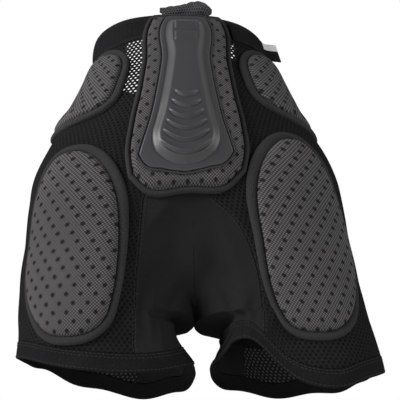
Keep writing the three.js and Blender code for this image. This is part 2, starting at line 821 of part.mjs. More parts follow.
// Holes of the open net on one side of the tailbone pad, as one body of loose diamonds
function netHoles(side) {
  const shapes = [];
  const reach = 2 * BACK_DEPTH;
  for (let row = 0; row < NET_ROWS; row += 1) {
    for (let column = 0; column < NET_COLUMNS; column += 1) {
      const x = NET_INNER + (column + (row % 2) / 2) * NET_PITCH + row * NET_FLARE;
      const z = -NET_DROP - row * NET_ROW;
      const diamond = new THREE.Shape();
      diamond.moveTo(NET_HOLE / 2, 0);
      diamond.lineTo(0, NET_HOLE / 2);
      diamond.lineTo(-NET_HOLE / 2, 0);
      diamond.lineTo(0, -NET_HOLE / 2);
      const hole = new THREE.ExtrudeGeometry(diamond, { depth: reach, bevelEnabled: false });
      hole.rotateX(Math.PI / 2);
      hole.translate(TAILBONE_OFFSET + side * x, 0, z);
      shapes.push(solidOf(hole));
    }
  }
  return shapes.reduce((sum, shape) => sum.add(shape));
}

// The cloth
const shell = wall(face, ofPart('shell'), 0, -CLOTH_WALL);
const mesh = shell.subtract(gussetCutter(CLEARANCE)).subtract(netHoles(-1)).subtract(netHoles(1));
const gusset = shell.intersect(gussetCutter(0));
const waistband = wall(face, ofPart('waistband'), 0, -BAND_WALL);
const hems = { left: wall(face, ofPart('hem', -1), 0, -BAND_WALL), right: wall(face, ofPart('hem', 1), 0, -BAND_WALL) };

// The tailbone pad and what lies on it
const tailboneOutline = mirroredOutline(TAILBONE_EDGE, TAILBONE_HALF_WIDTH, TAILBONE_LENGTH, TAILBONE_SIDES);
const tailboneEdge = inset(tailboneOutline, TAILBONE_BINDING_WIDTH + CLEARANCE);
const tailbonePad = foam(tailboneEdge, TAILBONE_CROWN, layBack).subtract(trimmer);
const tailboneBinding = bindingRing(tailboneOutline, TAILBONE_BINDING_WIDTH, layBack).subtract(trimmer);
const plateEdge = mirroredOutline(PLATE_EDGE, PLATE_HALF_WIDTH, PLATE_LENGTH, TAILBONE_SIDES);
const bed = foam(tailboneEdge, TAILBONE_CROWN, (x, y, height) => layBack(x, y, height + 2 * CLEARANCE));
const plate = plateBody(plateEdge).subtract(bed);
const piping = pipingRing(plateEdge);

// The strap
const { stations, free } = strapFace();
const strapFoot = STRAP_DROP + STRAP_HEIGHT;
const strapOuter = CLEARANCE + STRAP_THICKNESS;
const strap = stripBody(stations, STRAP_DROP, strapFoot, -STRAP_BLANK_DEPTH, strapOuter).subtract(trimmer);
const tabTop = STRAP_DROP + TAB_MARGIN;
const tabInner = STRAP_THICKNESS + 2 * CLEARANCE;
const tab = stripBody(stations.slice(free), tabTop, tabTop + TAB_HEIGHT, tabInner, tabInner + TAB_THICKNESS);

// Colours and finishes
const finish = (color, roughness, metalness = 0) => new THREE.MeshStandardMaterial({ color, roughness, metalness });
const net = finish(0x1c1c1d, 0.85);
const stretchCloth = finish(0x141415, 0.7);
const bandCloth = finish(0x1b1b1c, 0.75);
const coveredFoam = finish(0x4a4748, 0.8);
const bindingTape = finish(0x333334, 0.8);
const moulded = finish(0x2b2c2e, 0.42);
const pipingCord = finish(0x1a1a1b, 0.6);
const bareTab = finish(0xc4c4c2, 0.7);

const part = new THREE.Group();

function add(name, solid, material) {
  const mesh = solid.getMesh();
  const geometry = new THREE.BufferGeometry();
  geometry.setAttribute('position', new THREE.BufferAttribute(mesh.vertProperties, 3));
  geometry.setIndex(new THREE.BufferAttribute(mesh.triVerts, 1));
  geometry.computeVertexNormals();
  const piece = new THREE.Mesh(geometry, material);
  piece.name = name;
  part.add(piece);
}

add('mesh_shell', mesh, net);
add('seat_gusset', gusset, stretchCloth);
add('waistband', waistband, bandCloth);
add('left_leg_hem', hems.left, bandCloth);
add('right_leg_hem', hems.right, bandCloth);
add('tailbone_pad', tailbonePad, coveredFoam);
add('tailbone_binding', tailboneBinding, bindingTape);
add('tailbone_plate', plate, moulded);
add('tailbone_piping', piping, pipingCord);
add('tailbone_roll', rollBody(), net);
Object.entries(OVAL_PADS).forEach(([name, pad]) => {
  const outline = ovalOutline(pad);
  const lay = layOval(pad);
  const edge = inset(outline, BINDING_WIDTH + CLEARANCE);
  add(`${name}_pad`, foam(edge, OVAL_CROWN, lay).subtract(trimmer), coveredFoam);
  add(`${name}_binding`, bindingRing(outline, BINDING_WIDTH, lay).subtract(trimmer), bindingTape);
});
add('waist_strap', strap, bandCloth);
add('strap_tab', tab, bareTab);

export default part;
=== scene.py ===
"""Padded protective shorts in the form they have when worn, dressed over their frame.

Lengths in the formulas are millimetres and bearings are degrees. The origin is the centre of the
waist opening, +Z is up, +Y is the wearer's front and +X is the wearer's right.
"""

import bmesh
import bpy
import numpy as np
from bpy.props import FloatProperty, FloatVectorProperty, PointerProperty
from bpy.types import Operator, Panel, PropertyGroup
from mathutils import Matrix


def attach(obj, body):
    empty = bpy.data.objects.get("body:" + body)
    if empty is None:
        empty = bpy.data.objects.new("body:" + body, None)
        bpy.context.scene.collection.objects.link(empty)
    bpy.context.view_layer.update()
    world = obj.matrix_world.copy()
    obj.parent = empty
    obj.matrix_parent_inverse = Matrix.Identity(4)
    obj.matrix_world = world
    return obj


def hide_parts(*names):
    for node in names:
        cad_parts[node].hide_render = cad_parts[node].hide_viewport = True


bl_info = {
    "name": "Padded Protective Shorts",
    "version": (1, 0, 0),
    "blender": (4, 5, 0),
    "location": "3D View > Sidebar > Shorts",
    "description": "Builds padded protective shorts with their cloth, pads, plate and strap",
    "category": "Object",
}

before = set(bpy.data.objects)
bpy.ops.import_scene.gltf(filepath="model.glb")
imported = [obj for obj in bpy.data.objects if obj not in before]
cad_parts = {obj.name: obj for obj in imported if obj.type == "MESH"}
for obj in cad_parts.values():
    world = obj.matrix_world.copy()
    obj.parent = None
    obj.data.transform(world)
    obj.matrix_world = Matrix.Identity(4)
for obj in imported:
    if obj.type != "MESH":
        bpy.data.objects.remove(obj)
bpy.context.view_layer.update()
MM = 0.001
MERGE_DISTANCE = 0.05
SHARP_ANGLE = 50.0

# Colour of the pale fluff on the cloth
LINT = (0.14, 0.14, 0.14, 1)

# Sizes of the garment
LENGTH = 450.0
HALF_HIP = 200.0
BACK_DEPTH = 126.0
FRONT_DEPTH = 106.0
LEG_SPREAD = 112.0
SWAY = 13.0
FULLNESS = 0.1
WAIST_DIP = 10.0
HEM_WAVE = 40.0
CROTCH_AT = 0.844
CROTCH = CROTCH_AT * LENGTH
INSEAM_GAP = 30.0
INSEAM_REACH = 100.0
WAISTBAND_HEIGHT = 40.0
BAND_WALL = 3.0
BAND_PROUD = 0.5
BAND_GATHER = 0.22
HEM_BAND_HEIGHT = 20.0
HEM_RIPPLE = 2.5
WAIST_ROWS = (4.0, 7.0, 36.0, 38.0)
HEM_ROWS = (2.0, 5.0, 17.5)
ROW_RISE = 0.6
SEAM_RISE = 0.2
FOLD_DEPTH = 9.0
SEAM_FADE = 16.0
CLEARANCE = 0.3
GUSSET_TOP = 215.0
GUSSET_HALF_WIDTH = 68.0
SEAM_HALF_TURN = 0.88
VALLEY_WIDTH = 26.0
VALLEY_FADE = 60.0
STEEPEST_VALLEY = 2.5

# Where the mesh is a single layer that light shows through: reaches from the middle, depths down to
# which and from which it does, and the share of light low in front
CLEAR_LEFT = 84.0
CLEAR_RIGHT = 54.0
CLEAR_DEPTH = 130.0
CLEAR_RIGHT_DEPTH = 64.0
CLEAR_FOOT = 390.0
FOOT_SHARE = 0.14

# Fineness of the cloth's grids, and how many turns its equations are solved in
SHELL_COLUMNS = 131
SHELL_ROWS = 120
PANEL_COLUMNS = 41
PANEL_ROWS = 90
LEG_ROWS = 34
ROW_CROWDING = 1.4
BEARING_TURNS = 30
HEM_TURNS = 8

# Sizes of the pads
PAD_THICKNESS = 12.0
BINDING_WIDTH = 9.5
BINDING_THICKNESS = 5.0
BLANK_DEPTH = 3.0
SUNK_EDGE = 0.4
OVAL_LAP = 0.6
TAILBONE_LAP = 0.4
STITCH_PLACE = 0.74
STITCH_RISE = 0.86
UNDER_SHARES = np.append(np.linspace(0.04, 0.94, 16), [0.98, 1.0])
PUCKER = 0.12
PUCKER_PITCH = 7.0
TAILBONE_LENGTH = 264.0
TAILBONE_SKEW = 6.0
TAILBONE_HALF_WIDTH = 71.0
TAILBONE_MARGIN = 3.5
TAILBONE_OFFSET = -7.0
TAILBONE_BINDING_WIDTH = 7.0

# Sizes of the moulded plate
PLATE_LENGTH = 232.0
PLATE_HALF_WIDTH = 54.0
PLATE_DROP = 13.0
PLATE_OFFSET = -2.0
FLANGE_WIDTH = 7.0
FLANGE_THICKNESS = 2.5
DOME_HEIGHT = 6.0
DOME_SLOPE = 9.0
PLATE_CORNER = 3.0
DOME_TOP_CORNER = 14.0
DOME_FOOT_CORNER = 46.0
GROOVE_DEPTH = 0.45
GROOVE_WIDTH = 1.1
STEP_GROOVE = 0.5
RIB_GROOVE = 1.1
RIB_GROOVE_DROP = 3.1
RIB_COUNT = 6
RIB_RADIUS = 2.4
RIB_PITCH = 13.0
FIRST_RIB_DROP = 131.0
FIRST_RIB_HALF_SPAN = 14.0
LAST_RIB_HALF_SPAN = 30.0
RIB_SAG = 0.5
STEP_COUNT = 2
STEP_HALF_WIDTH = 13.0
STEP_HEIGHT = 14.0
STEP_PITCH = 21.0
FIRST_STEP_DROP = 21.0
STEP_RELIEF = 1.4
PIPING_RADIUS = 1.1
PIPING_MARGIN = 1.0

# Sizes of the strap and the cloth roll
STRAP_HEIGHT = 29.0
STRAP_THICKNESS = 2.5
STRAP_DROP = 9.0
STRAP_FREE_END = 25.0
STRAP_BEARING = -33.0
STRAP_ROOT = 30.0
STRAP_END_TURN = 46.0
TAB_HEIGHT = 11.0
TAB_THICKNESS = 0.8
TAB_MARGIN = 1.5
ROLL_HALF_WIDTH = 34.0
ROLL_HEIGHT = 16.0
ROLL_DEPTH = 14.0
ROLL_OFFSET = -8.0

# The photograph's view: turned and tilted about a point in the garment, at a distance in metres
VIEW_TURN = -3.0
VIEW_TILT = -23.0
VIEW_DISTANCE = 0.88
VIEW_POINT = (0.0, 0.0, -0.215)
VIEW_LENS = 60.66
VIEW_SHIFT = 0.03
FLOOR_HEIGHT = -0.95
FLOOR_REACH = 6.0
REAR_LIGHT = 0.26
KEY_LIGHT = dict(place=(-1.7, -1.0, 0.4), size=1.0, power=74.0)
SIDE_LIGHT = dict(place=(1.5, -0.9, 0.2), size=0.8, power=20.0)

# Signs of the garment's halves, left and right or behind and in front
HALVES = (-1, 1)


def table(columns, rows):
    """A list of rows under named columns."""
    return dict(zip(columns, np.array(rows, float).T))


# Sections from the waist down, as shares of the garment's sizes
SECTIONS = table(
    ["down", "half_width", "leg_centre", "overlap", "back", "front", "sway"],
    [
        [0.0, 0.61, 0.0, 0.61, 0.73, 0.83, -1.0],
        [0.111, 0.63, 0.0, 0.63, 0.825, 0.885, -0.5],
        [0.222, 0.705, 0.0, 0.705, 0.92, 0.945, -0.35],
        [0.289, 0.78, 0.03, 0.752, 0.96, 0.975, -0.35],
        [0.333, 0.865, 0.07, 0.802, 0.985, 0.99, -0.25],
        [0.389, 0.93, 0.15, 0.777, 0.995, 1.0, -0.15],
        [0.444, 0.975, 0.25, 0.695, 1.0, 1.0, -0.15],
        [0.556, 1.0, 0.49, 0.45, 0.95, 0.98, -0.1],
        [0.667, 1.015, 0.715, 0.215, 0.87, 0.945, 0.1],
        [0.778, 1.035, 0.875, 0.06, 0.81, 0.905, 0.3],
        [CROTCH_AT, 1.045, 0.935, 0.0, 0.79, 0.895, 0.6],
        [0.872, 1.048, 0.95, 0.0, 0.785, 0.89, 0.8],
        [0.922, 1.052, 0.975, 0.0, 0.775, 0.885, 1.05],
        [1.0, 1.06, 1.0, 0.0, 0.76, 0.885, 1.4],
    ],
)
INSEAM = table(
    ["down", "gap"],
    [[CROTCH_AT, 0.0], [0.85, 0.8], [0.872, 1.0], [0.922, 0.7], [0.97, 0.2], [1.0, 0.2]],
)
HEMS = table(
    ["bearing", "left", "right"],
    [
        [-180, 0.42, 0.6], [-160, 0.45, 0.6], [-140, 0.25, 0.95], [-120, 0.05, 0.85],
        [-100, -0.03, -0.15], [-80, 0.03, -0.4], [-60, 0.18, -0.12], [-40, 0.4, 0.1],
        [0, 0.65, 0.32], [40, 0.58, 0.15], [80, 0.14, -0.02], [100, -0.05, -0.02],
        [140, -0.03, 0.2], [160, 0.15, 0.45], [180, 0.42, 0.6],
    ],
)

# Faint crossed waves over the whole cloth: a height, degrees a radian, and radians a share of the length
WAVES = [(0.35, 9.0, 31.0), (0.3, 5.3, -47.0)]

# Main folds: the side, the bearing, shares of the length, a width in degrees and a share of FOLD_DEPTH
FOLDS = [
    (-1, -118, 0.6, 0.93, 16, -1.0),
    (-1, -146, 0.68, 1.0, 14, 0.6),
    (-1, -20, 0.86, 1.0, 22, 0.5),
    (-1, 96, 0.8, 1.0, 20, 0.7),
    (1, -122, 0.62, 0.88, 16, -0.9),
    (1, -78, 0.88, 1.0, 18, 0.7),
    (1, 8, 0.8, 1.0, 20, -0.4),
    (1, 90, 0.8, 1.0, 22, 0.6),
    (-1, 70, 0.3, 0.6, 20, -0.6),
    (1, 70, 0.3, 0.6, 20, -0.6),
]

# Small wrinkles: the side, the bearing, the share of the length at their middle and their half
# length, a half width in degrees, how many degrees they turn per share, and a height
WRINKLES = [
    (-1, -112, 0.84, 0.07, 3.0, -30, -3.6),
    (-1, -119, 0.86, 0.07, 3.0, 10, 2.6),
    (-1, -126, 0.9, 0.05, 3.0, 60, 2.4),
    (-1, -136, 0.8, 0.08, 4.0, 110, -2.6),
    (-1, -150, 0.86, 0.06, 4.0, 140, 2.6),
    (-1, -104, 0.6, 0.06, 3.0, 40, 1.8),
    (-1, -106, 0.93, 0.018, 10.0, 40, -2.4),
    (-1, -90, 0.955, 0.014, 16.0, 10, 1.8),
    (-1, -128, 0.96, 0.025, 6.0, -80, 2.6),
    (-1, -70, 0.96, 0.02, 12.0, 20, -1.8),
    (1, -129, 0.84, 0.07, 3.0, 10, -3.4),
    (1, -122, 0.87, 0.06, 3.5, -60, 2.8),
    (1, -114, 0.84, 0.03, 4.0, -160, -2.8),
    (1, -108, 0.88, 0.03, 4.0, -180, 2.8),
    (1, -140, 0.88, 0.05, 3.5, -90, 2.4),
    (1, -152, 0.84, 0.05, 4.0, -130, -2.2),
    (1, -112, 0.72, 0.08, 3.5, -30, 1.8),
    (1, -96, 0.91, 0.03, 5.0, 60, -2.2),
    (1, -84, 0.95, 0.016, 12.0, -20, -2.0),
    (1, -60, 0.96, 0.018, 12.0, 30, 2.0),
    (-1, 60, 0.8, 0.1, 6.0, 50, 2.0),
    (1, 60, 0.8, 0.1, 6.0, -50, 2.0),
    (-1, 150, 0.8, 0.08, 6.0, 90, 2.0),
    (1, 150, 0.8, 0.08, 6.0, -90, 2.0),
]

GUSSET_EDGE = table(
    ["along", "left", "right"],
    [
        [0.0, 0.0, 0.0], [0.1, 0.55, 0.08], [0.26, 0.8, 0.26], [0.41, 0.88, 0.62],
        [0.56, 0.93, 0.82], [0.75, 0.98, 0.95], [1.0, 1.0, 1.0],
    ],
)

# Oval pads on the hips and thighs
OVAL_PADS = {
    "left_hip": dict(
        side=-1, bearing=-25, down=0.223, width=150, height=118, power=2.8, taper=0, lean=-0.14, slant=0
    ),
    "right_hip": dict(
        side=1, bearing=-28, down=0.212, width=150, height=112, power=2.8, taper=0, lean=-0.04, slant=0
    ),
    "left_thigh": dict(
        side=-1, bearing=-64.7, down=0.686, width=125, height=229, power=2.4, taper=-0.195, lean=0.1,
        slant=0.227,
    ),
    "right_thigh": dict(
        side=1, bearing=-66.4, down=0.656, width=128, height=243, power=2.3, taper=-0.26, lean=-0.146,
        slant=0.168,
    ),
}
OVAL_CROWN = table(
    ["out", "height"],
    [
        [0.0, 1.0], [0.3, 0.995], [0.55, 0.97], [0.8, 0.91],
        [0.9, 0.83], [0.96, 0.68], [0.985, 0.5], [1.0, 0.2],
    ],
)
TAILBONE_CROWN = table(
    ["out", "height"],
    [[0.0, 1.0], [0.9, 1.0], [0.94, 0.97], [0.965, 0.86], [0.985, 0.62], [1.0, 0.25]],
)
TAILBONE_EDGE = table(
    ["along", "across"],
    [
        [0.0, 0.6], [0.02, 0.68], [0.045, 0.72], [0.33, 0.79], [0.52, 0.87],
        [0.68, 0.96], [0.82, 1.0], [0.92, 0.94],
    ],
)
TAILBONE_FOOT = table(["across", "along"], [[0.0, 1.0], [0.7, 0.985], [0.94, 0.92]])
PLATE_EDGE = table(
    ["along", "across"],
    [
        [0.0, 0.43], [0.02, 0.48], [0.34, 0.54], [0.51, 0.62], [0.7, 0.75],
        [0.87, 0.94], [0.905, 0.98],
    ],
)
PLATE_FOOT = table(["across", "along"], [[0.0, 1.0], [0.45, 0.98], [0.9, 0.935], [0.98, 0.905]])
BED = table(
    ["down", "bow"],
    [[-0.05, 0.082], [0.11, 0.082], [0.222, 0.074], [0.333, 0.044], [0.444, 0.021], [0.6, 0.012]],
)
ROLL = table(
    ["across", "height"],
    [[-1.0, 0.2], [-0.6, 0.42], [-0.2, 0.62], [0.2, 0.85], [0.5, 1.0], [0.75, 0.85], [1.0, 0.2]],
)


def read(rows, place, column, at):
    """Cubics through a column's rows. Each row's slope is the mean of the slopes on its two sides,
    weighted by nearness, and between two rows the cubic has both rows' values and slopes."""
    xs, ys = rows[place], rows[column]
    slopes = np.gradient(ys, xs)
    x = np.clip(at, xs[0], xs[-1])
    i = np.clip(np.searchsorted(xs, x, side="right") - 1, 0, len(xs) - 2)
    step = xs[i + 1] - xs[i]
    t = (x - xs[i]) / step
    rise = ys[i] * (1 + 2 * t) * (1 - t) ** 2 + ys[i + 1] * t * t * (3 - 2 * t)
    return rise + step * (slopes[i] * t * (1 - t) ** 2 + slopes[i + 1] * t * t * (t - 1))


def smooth(t):
    """Rises from 0 to 1 along three t squared less two t cubed, and stays level outside."""
    s = np.clip(t, 0, 1)
    return s * s * (3 - 2 * s)


def section(depth):
    """Sizes of the garment's section at a depth below the waist edge."""
    down = depth / LENGTH
    centre = LEG_SPREAD * read(SECTIONS, "down", "leg_centre", down)
    overlap = HALF_HIP * read(SECTIONS, "down", "overlap", down)
    return {
        "centre": centre,
        "outer": HALF_HIP * read(SECTIONS, "down", "half_width", down) - centre,
        "inner": centre + overlap,
        "gap": INSEAM_GAP * read(INSEAM, "down", "gap", down),
        "back": BACK_DEPTH * read(SECTIONS, "down", "back", down),
        "front": FRONT_DEPTH * read(SECTIONS, "down", "front", down),
        "sway": SWAY * read(SECTIONS, "down", "sway", down),
    }


def folds(side, bearing, depth):
    """How far the cloth is pushed out. A main fold is a bell across its bearing that fades in and
    out along it, or stays open at the hem. A wrinkle is a bell across a slanted line and along it,
    and the whole cloth has two faint crossed waves. All of it fades out towards the middle seam."""
    down = depth / LENGTH
    push = sum(height * np.sin(bearing / width + down * turn) for height, width, turn in WAVES)
    for owner, middle, top, foot, width, height in FOLDS:
        if owner == side:
            along = (down - top) / (foot - top)
            reach = smooth(1 - abs(2 * along - 1)) if foot < 1 else smooth(along)
            push = push + FOLD_DEPTH * height * reach * np.exp(-(((bearing - middle) / width) ** 2))
    for owner, middle, at, half_length, width, turn, height in WRINKLES:
        if owner == side:
            across = (bearing - middle - turn * (down - at)) / width
            along = (down - at) / half_length
            push = push + height * np.exp(-(across**2) - along**2)
    return push * smooth((seam_bearing(depth) - abs(bearing)) / SEAM_FADE)


def cloth(side, bearing, depth, folded=True):
    """Point of the cloth's outer face: each leg is an oval round its own centre, a little squarer
    than an ellipse by a term in the sine squared, and the two ovals overlap above the crotch."""
    bearing, depth = np.broadcast_arrays(np.asarray(bearing, float), np.asarray(depth, float))
    s = section(depth)
    cos, sin = np.cos(np.radians(bearing)), np.sin(np.radians(bearing))
    push = folds(side, bearing, depth) if folded else 0.0
    inward = smooth((abs(bearing) - 180 + INSEAM_REACH) / INSEAM_REACH)
    reach = np.where(cos > 0, s["outer"], s["inner"] - s["gap"] * inward)
    across = reach * cos * (1 + FULLNESS * sin**2) + push * cos
    along = np.where(sin < 0, s["back"], s["front"]) * sin * (1 + FULLNESS * cos**2) + push * sin
    dip = WAIST_DIP * np.maximum(0, 1 - 3 * depth / LENGTH) * along / section(0.0)["back"]
    return np.stack([side * (s["centre"] + across) + s["sway"], along, -depth - dip], -1)


def unit(vectors):
    """Vectors brought to length 1."""
    return vectors / np.maximum(np.linalg.norm(vectors, axis=-1, keepdims=True), 1e-9)


def on_cloth(side, bearing, depth, height, folded=False):
    """Point at a height above the cloth, along the normal of the cloth without its folds: the cross
    product of the steps down and round it."""
    round_it = cloth(side, bearing + 1, depth, False) - cloth(side, bearing - 1, depth, False)
    down = cloth(side, bearing, depth + 1, False) - cloth(side, bearing, depth - 1, False)
    normal = unit(side * np.cross(down, round_it))
    return cloth(side, bearing, depth, folded) + normal * np.asarray(height, float)[..., None]


def bearing_at(reach, radius):
    """Bearing at which an oval's sideways reach is a given one, by repeated substitution."""
    share = np.clip(reach / radius, -1, 1)
    cos = share
    for _ in range(BEARING_TURNS):
        cos = np.clip(share / (1 + FULLNESS * (1 - cos * cos)), -1, 1)
    return np.degrees(np.arccos(cos))


def seam_bearing(depth):
    """Bearing at which a leg's oval meets the middle of the garment, and 180 below the crotch."""
    s = section(depth)
    return np.where(depth >= CROTCH, 180.0, bearing_at(-s["centre"], s["inner"]))


def gusset_bearing(side, depth):
    """Bearing of the seat panel's edge. Its reach from the middle follows a table down to the
    crotch and is level below it, and above the panel it is the seam in the middle."""
    s = section(depth)
    along = np.clip((depth - GUSSET_TOP) / (CROTCH - GUSSET_TOP), 0, 1)
    half = GUSSET_HALF_WIDTH * read(GUSSET_EDGE, "along", "left" if side < 0 else "right", along)
    lean = along * (section(CROTCH)["sway"] - s["sway"])
    reach = side * lean + half - s["centre"]
    edge = bearing_at(reach, np.where(reach > 0, s["outer"], s["inner"]))
    return np.minimum(edge, seam_bearing(depth))


def hem(side, bearing):
    """Depth of a leg's hem, with small waves towards its front."""
    wave = HEM_RIPPLE * np.sin(np.radians(bearing * 8 + 60 * side)) * smooth((bearing - 10) / 30)
    wave = wave * smooth((170 - bearing) / 30)
    return LENGTH + wave - HEM_WAVE * read(HEMS, "bearing", "left" if side < 0 else "right", bearing)


def cloth_grid(side, bearings, top, rows):
    """Bearings and depths of a patch from a depth to the hem band. Above the crotch the rows are
    level and lie closer towards it, and below it they are shares of the way to the wavy hem, where
    bearing and depth are found by turns."""
    share = 1 - (1 - np.linspace(0, 1, rows)) ** ROW_CROWDING
    depth = (top + (CROTCH - top) * share)[:-1, None] + np.zeros_like(bearings(np.array([[0.0]])))
    trunk = (bearings(depth), depth)
    share = np.linspace(0, 1, LEG_ROWS)[:, None]
    depth = CROTCH + share * (LENGTH - CROTCH)
    for _ in range(HEM_TURNS):
        bearing = bearings(depth)
        depth = CROTCH + share * (hem(side, bearing) - HEM_BAND_HEIGHT - CROTCH)
    return np.vstack([trunk[0], bearing]), np.vstack([trunk[1], depth])


def arc_lengths(points, axis):
    """Length along one way of a grid, from its start."""
    steps = np.linalg.norm(np.diff(points, axis=axis), axis=-1)
    start = np.zeros_like(steps.take([0], axis=axis))
    return np.concatenate([start, np.cumsum(steps, axis=axis)], axis=axis)


def grid_faces(rows, columns, start=0, flip=False):
    """Faces of a grid of points."""
    i, k = np.meshgrid(np.arange(rows - 1), np.arange(columns - 1), indexing="ij")
    a = (start + i * columns + k).ravel()
    corners = np.stack([a, a + columns, a + columns + 1, a + 1], -1)
    return corners[:, ::-1] if flip else corners


def rings_body(rings, closed=False):
    """Points and faces through rings, which either close on each other or end in fans."""
    count, size = rings.shape[:2]
    i, k = np.meshgrid(np.arange(count if closed else count - 1), np.arange(size), indexing="ij")
    beside, below = (k + 1) % size, (i + 1) % count
    quads = np.stack([i * size + k, i * size + beside, below * size + beside, below * size + k], -1)
    points, faces = rings.reshape(-1, 3), quads.reshape(-1, 4).tolist()
    if not closed:
        middles = rings[[0, -1]].mean(axis=1)
        first, last, total = np.arange(size), (count - 1) * size + np.arange(size), count * size
        faces += np.stack([np.roll(first, -1), first, np.full(size, total)], -1).tolist()
        faces += np.stack([last, np.roll(last, -1), np.full(size, total + 1)], -1).tolist()
        points = np.vstack([points, middles])
    return points, faces


def slab(top, bottom):
    """Points and faces of a closed body between two grids with the same outline."""
    rows, columns = top.shape[:2]
    count = rows * columns
    index = np.arange(count).reshape(rows, columns)
    edge = np.concatenate([index[0, :-1], index[:-1, -1], index[-1, :0:-1], index[:0:-1, 0]])
    after = np.roll(edge, -1)
    walls = np.stack([edge, after, after + count, edge + count], -1)
    faces = np.vstack([grid_faces(rows, columns), grid_faces(rows, columns, count, True), walls])
    return np.vstack([top.reshape(-1, 3), bottom.reshape(-1, 3)]), faces.tolist()


def outward(points, faces):
    """Faces turned so that the body's signed volume is above 0."""
    fans = [(f[0], f[k], f[k + 1]) for f in faces for k in range(1, len(f) - 1)]
    a, b, c = (points[list(column)] for column in zip(*fans))
    volume = np.einsum("ij,ij->i", a, np.cross(b, c)).sum()
    return faces if volume > 0 else [face[::-1] for face in faces]


def put(name, data):
    """An object with the given data, in the scene."""
    made = bpy.data.objects.new(name, data)
    bpy.context.scene.collection.objects.link(made)
    return made


def make_piece(name, points, faces, slot, uv=None, closed=True, merge=False, attributes=()):
    """A piece from points in millimetres, with a map and attributes given for each point."""
    mesh = bpy.data.meshes.new(name)
    mesh.from_pydata((points * MM).tolist(), [], outward(points, faces) if closed else faces)
    if uv is not None:
        corners = np.empty(len(mesh.loops), dtype=np.int32)
        mesh.loops.foreach_get("vertex_index", corners)
        layer = mesh.uv_layers.new(name="cloth")
        layer.data.foreach_set("uv", (uv * MM)[corners].astype(np.float32).ravel())
    for label, values in attributes:
        mesh.attributes.new(label, "FLOAT", "POINT").data.foreach_set("value", values.astype(np.float32))
    if merge:
        work = bmesh.new()
        work.from_mesh(mesh)
        bmesh.ops.remove_doubles(work, verts=work.verts, dist=MERGE_DISTANCE * MM)
        work.to_mesh(mesh)
        work.free()
    mesh.polygons.foreach_set("use_smooth", np.ones(len(mesh.polygons), dtype=bool))
    mesh.set_sharp_from_angle(angle=np.radians(SHARP_ANGLE))
    mesh.materials.append(bpy.data.materials[f"{slot}_finish"])
    piece = put(name, mesh)
    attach(piece, "root")
    return piece


def stitch_rows(name, rows, sizes, radius):
    """Stitches along paths. Each one is a spindle of six-sided rings whose radius follows a half
    circle, laid along the path's direction and half sunk in the cloth."""
    pitch, length = sizes.stitch_pitch / MM, sizes.stitch_length / MM
    turns = np.radians(np.arange(6) * 60.0)
    along = np.linspace(-0.5, 0.5, 5)
    swell = np.repeat(np.sqrt(np.maximum(0.08, 1 - (2 * along) ** 2)), 6) * radius
    round_it = [np.tile(np.cos(turns), 5) * swell, np.tile(np.sin(turns), 5) * swell]
    spindle, faces = rings_body(np.stack([np.repeat(along, 6) * length, *round_it], -1).reshape(5, 6, 3))
    kinds = [np.array([face for face in faces if len(face) == corners]) for corners in (4, 3)]
    points, all_faces, start = [], [], 0
    for path, normals in rows:
        reach = arc_lengths(path, 0)
        places = np.arange(pitch, reach[-1] - pitch / 2, pitch)
        at, ahead, up = (
            np.stack([np.interp(where, reach, values[:, k]) for k in range(3)], -1)
            for where, values in ((places, path), (places + 0.5, path), (places, normals))
        )
        way, up = unit(ahead - at), unit(up)
        basis = np.stack([way, unit(np.cross(up, way)), up], 1)
        points.append((at[:, None, :] + np.einsum("pk,skj->spj", spindle, basis)).reshape(-1, 3))
        first = start + len(spindle) * np.arange(len(places))[:, None, None]
        for kind in kinds:
            all_faces += (kind + first).reshape(-1, kind.shape[1]).tolist()
        start += len(points[-1])
    return make_piece(name, np.vstack(points), all_faces, "thread")


def path_on_cloth(side, bearing, depth, height):
    """A path at a height above the folded cloth, and its normals."""
    low = on_cloth(side, bearing, depth, np.full_like(bearing, height), True)
    return low, on_cloth(side, bearing, depth, np.full_like(bearing, height + 1), True) - low


def row_on_cloth(stations, depth_of, height):
    """A path and its normals along stations round the garment, each a side and its bearings."""
    parts = [path_on_cloth(side, bearings, depth_of(side, bearings), height) for side, bearings in stations]
    return [np.vstack(part) for part in zip(*parts)]


def cloth_map(grid, bearing, depth, anchor):
    """Map of a grid: the length round it from an anchor bearing, and the depth."""
    reach = arc_lengths(grid, 1)
    columns = grid.shape[1]
    place = (anchor - bearing[:, 0]) / (bearing[:, -1] - bearing[:, 0]) * (columns - 1)
    low = np.clip(np.floor(place).astype(int), 0, columns - 2)
    rows = np.arange(len(grid))
    zero = reach[rows, low] + (place - low) * (reach[rows, low + 1] - reach[rows, low])
    return np.stack([reach - zero[:, None], depth], -1)


def patches(blocks):
    """Joins grids of points, each with its map, into one open surface."""
    points, faces, maps, start = [], [], [], 0
    for grid, grid_map, flip in blocks:
        rows, columns = grid.shape[:2]
        faces.append(grid_faces(rows, columns, start, flip))
        maps.append(grid_map.reshape(-1, 2))
        points.append(grid.reshape(-1, 3))
        start += rows * columns
    return np.vstack(points), np.vstack(faces).tolist(), np.vstack(maps)


def declare_cloth(grids):
    """Works out a piece's cut size from its grids, the widest rows side by side and the longest column, and
    does nothing more with it.
    """
    width = sum(arc_lengths(grid, 1)[:, -1].max() for grid in grids) * MM
    length = max(arc_lengths(grid, 0)[-1].max() for grid in grids) * MM


def thicken(piece, thickness):
    """Gives an open surface its wall, inwards from its outer face."""
    wall = piece.modifiers.new("Wall", "SOLIDIFY")
    wall.thickness = thickness
    wall.offset = -1
    wall.use_even_offset = True


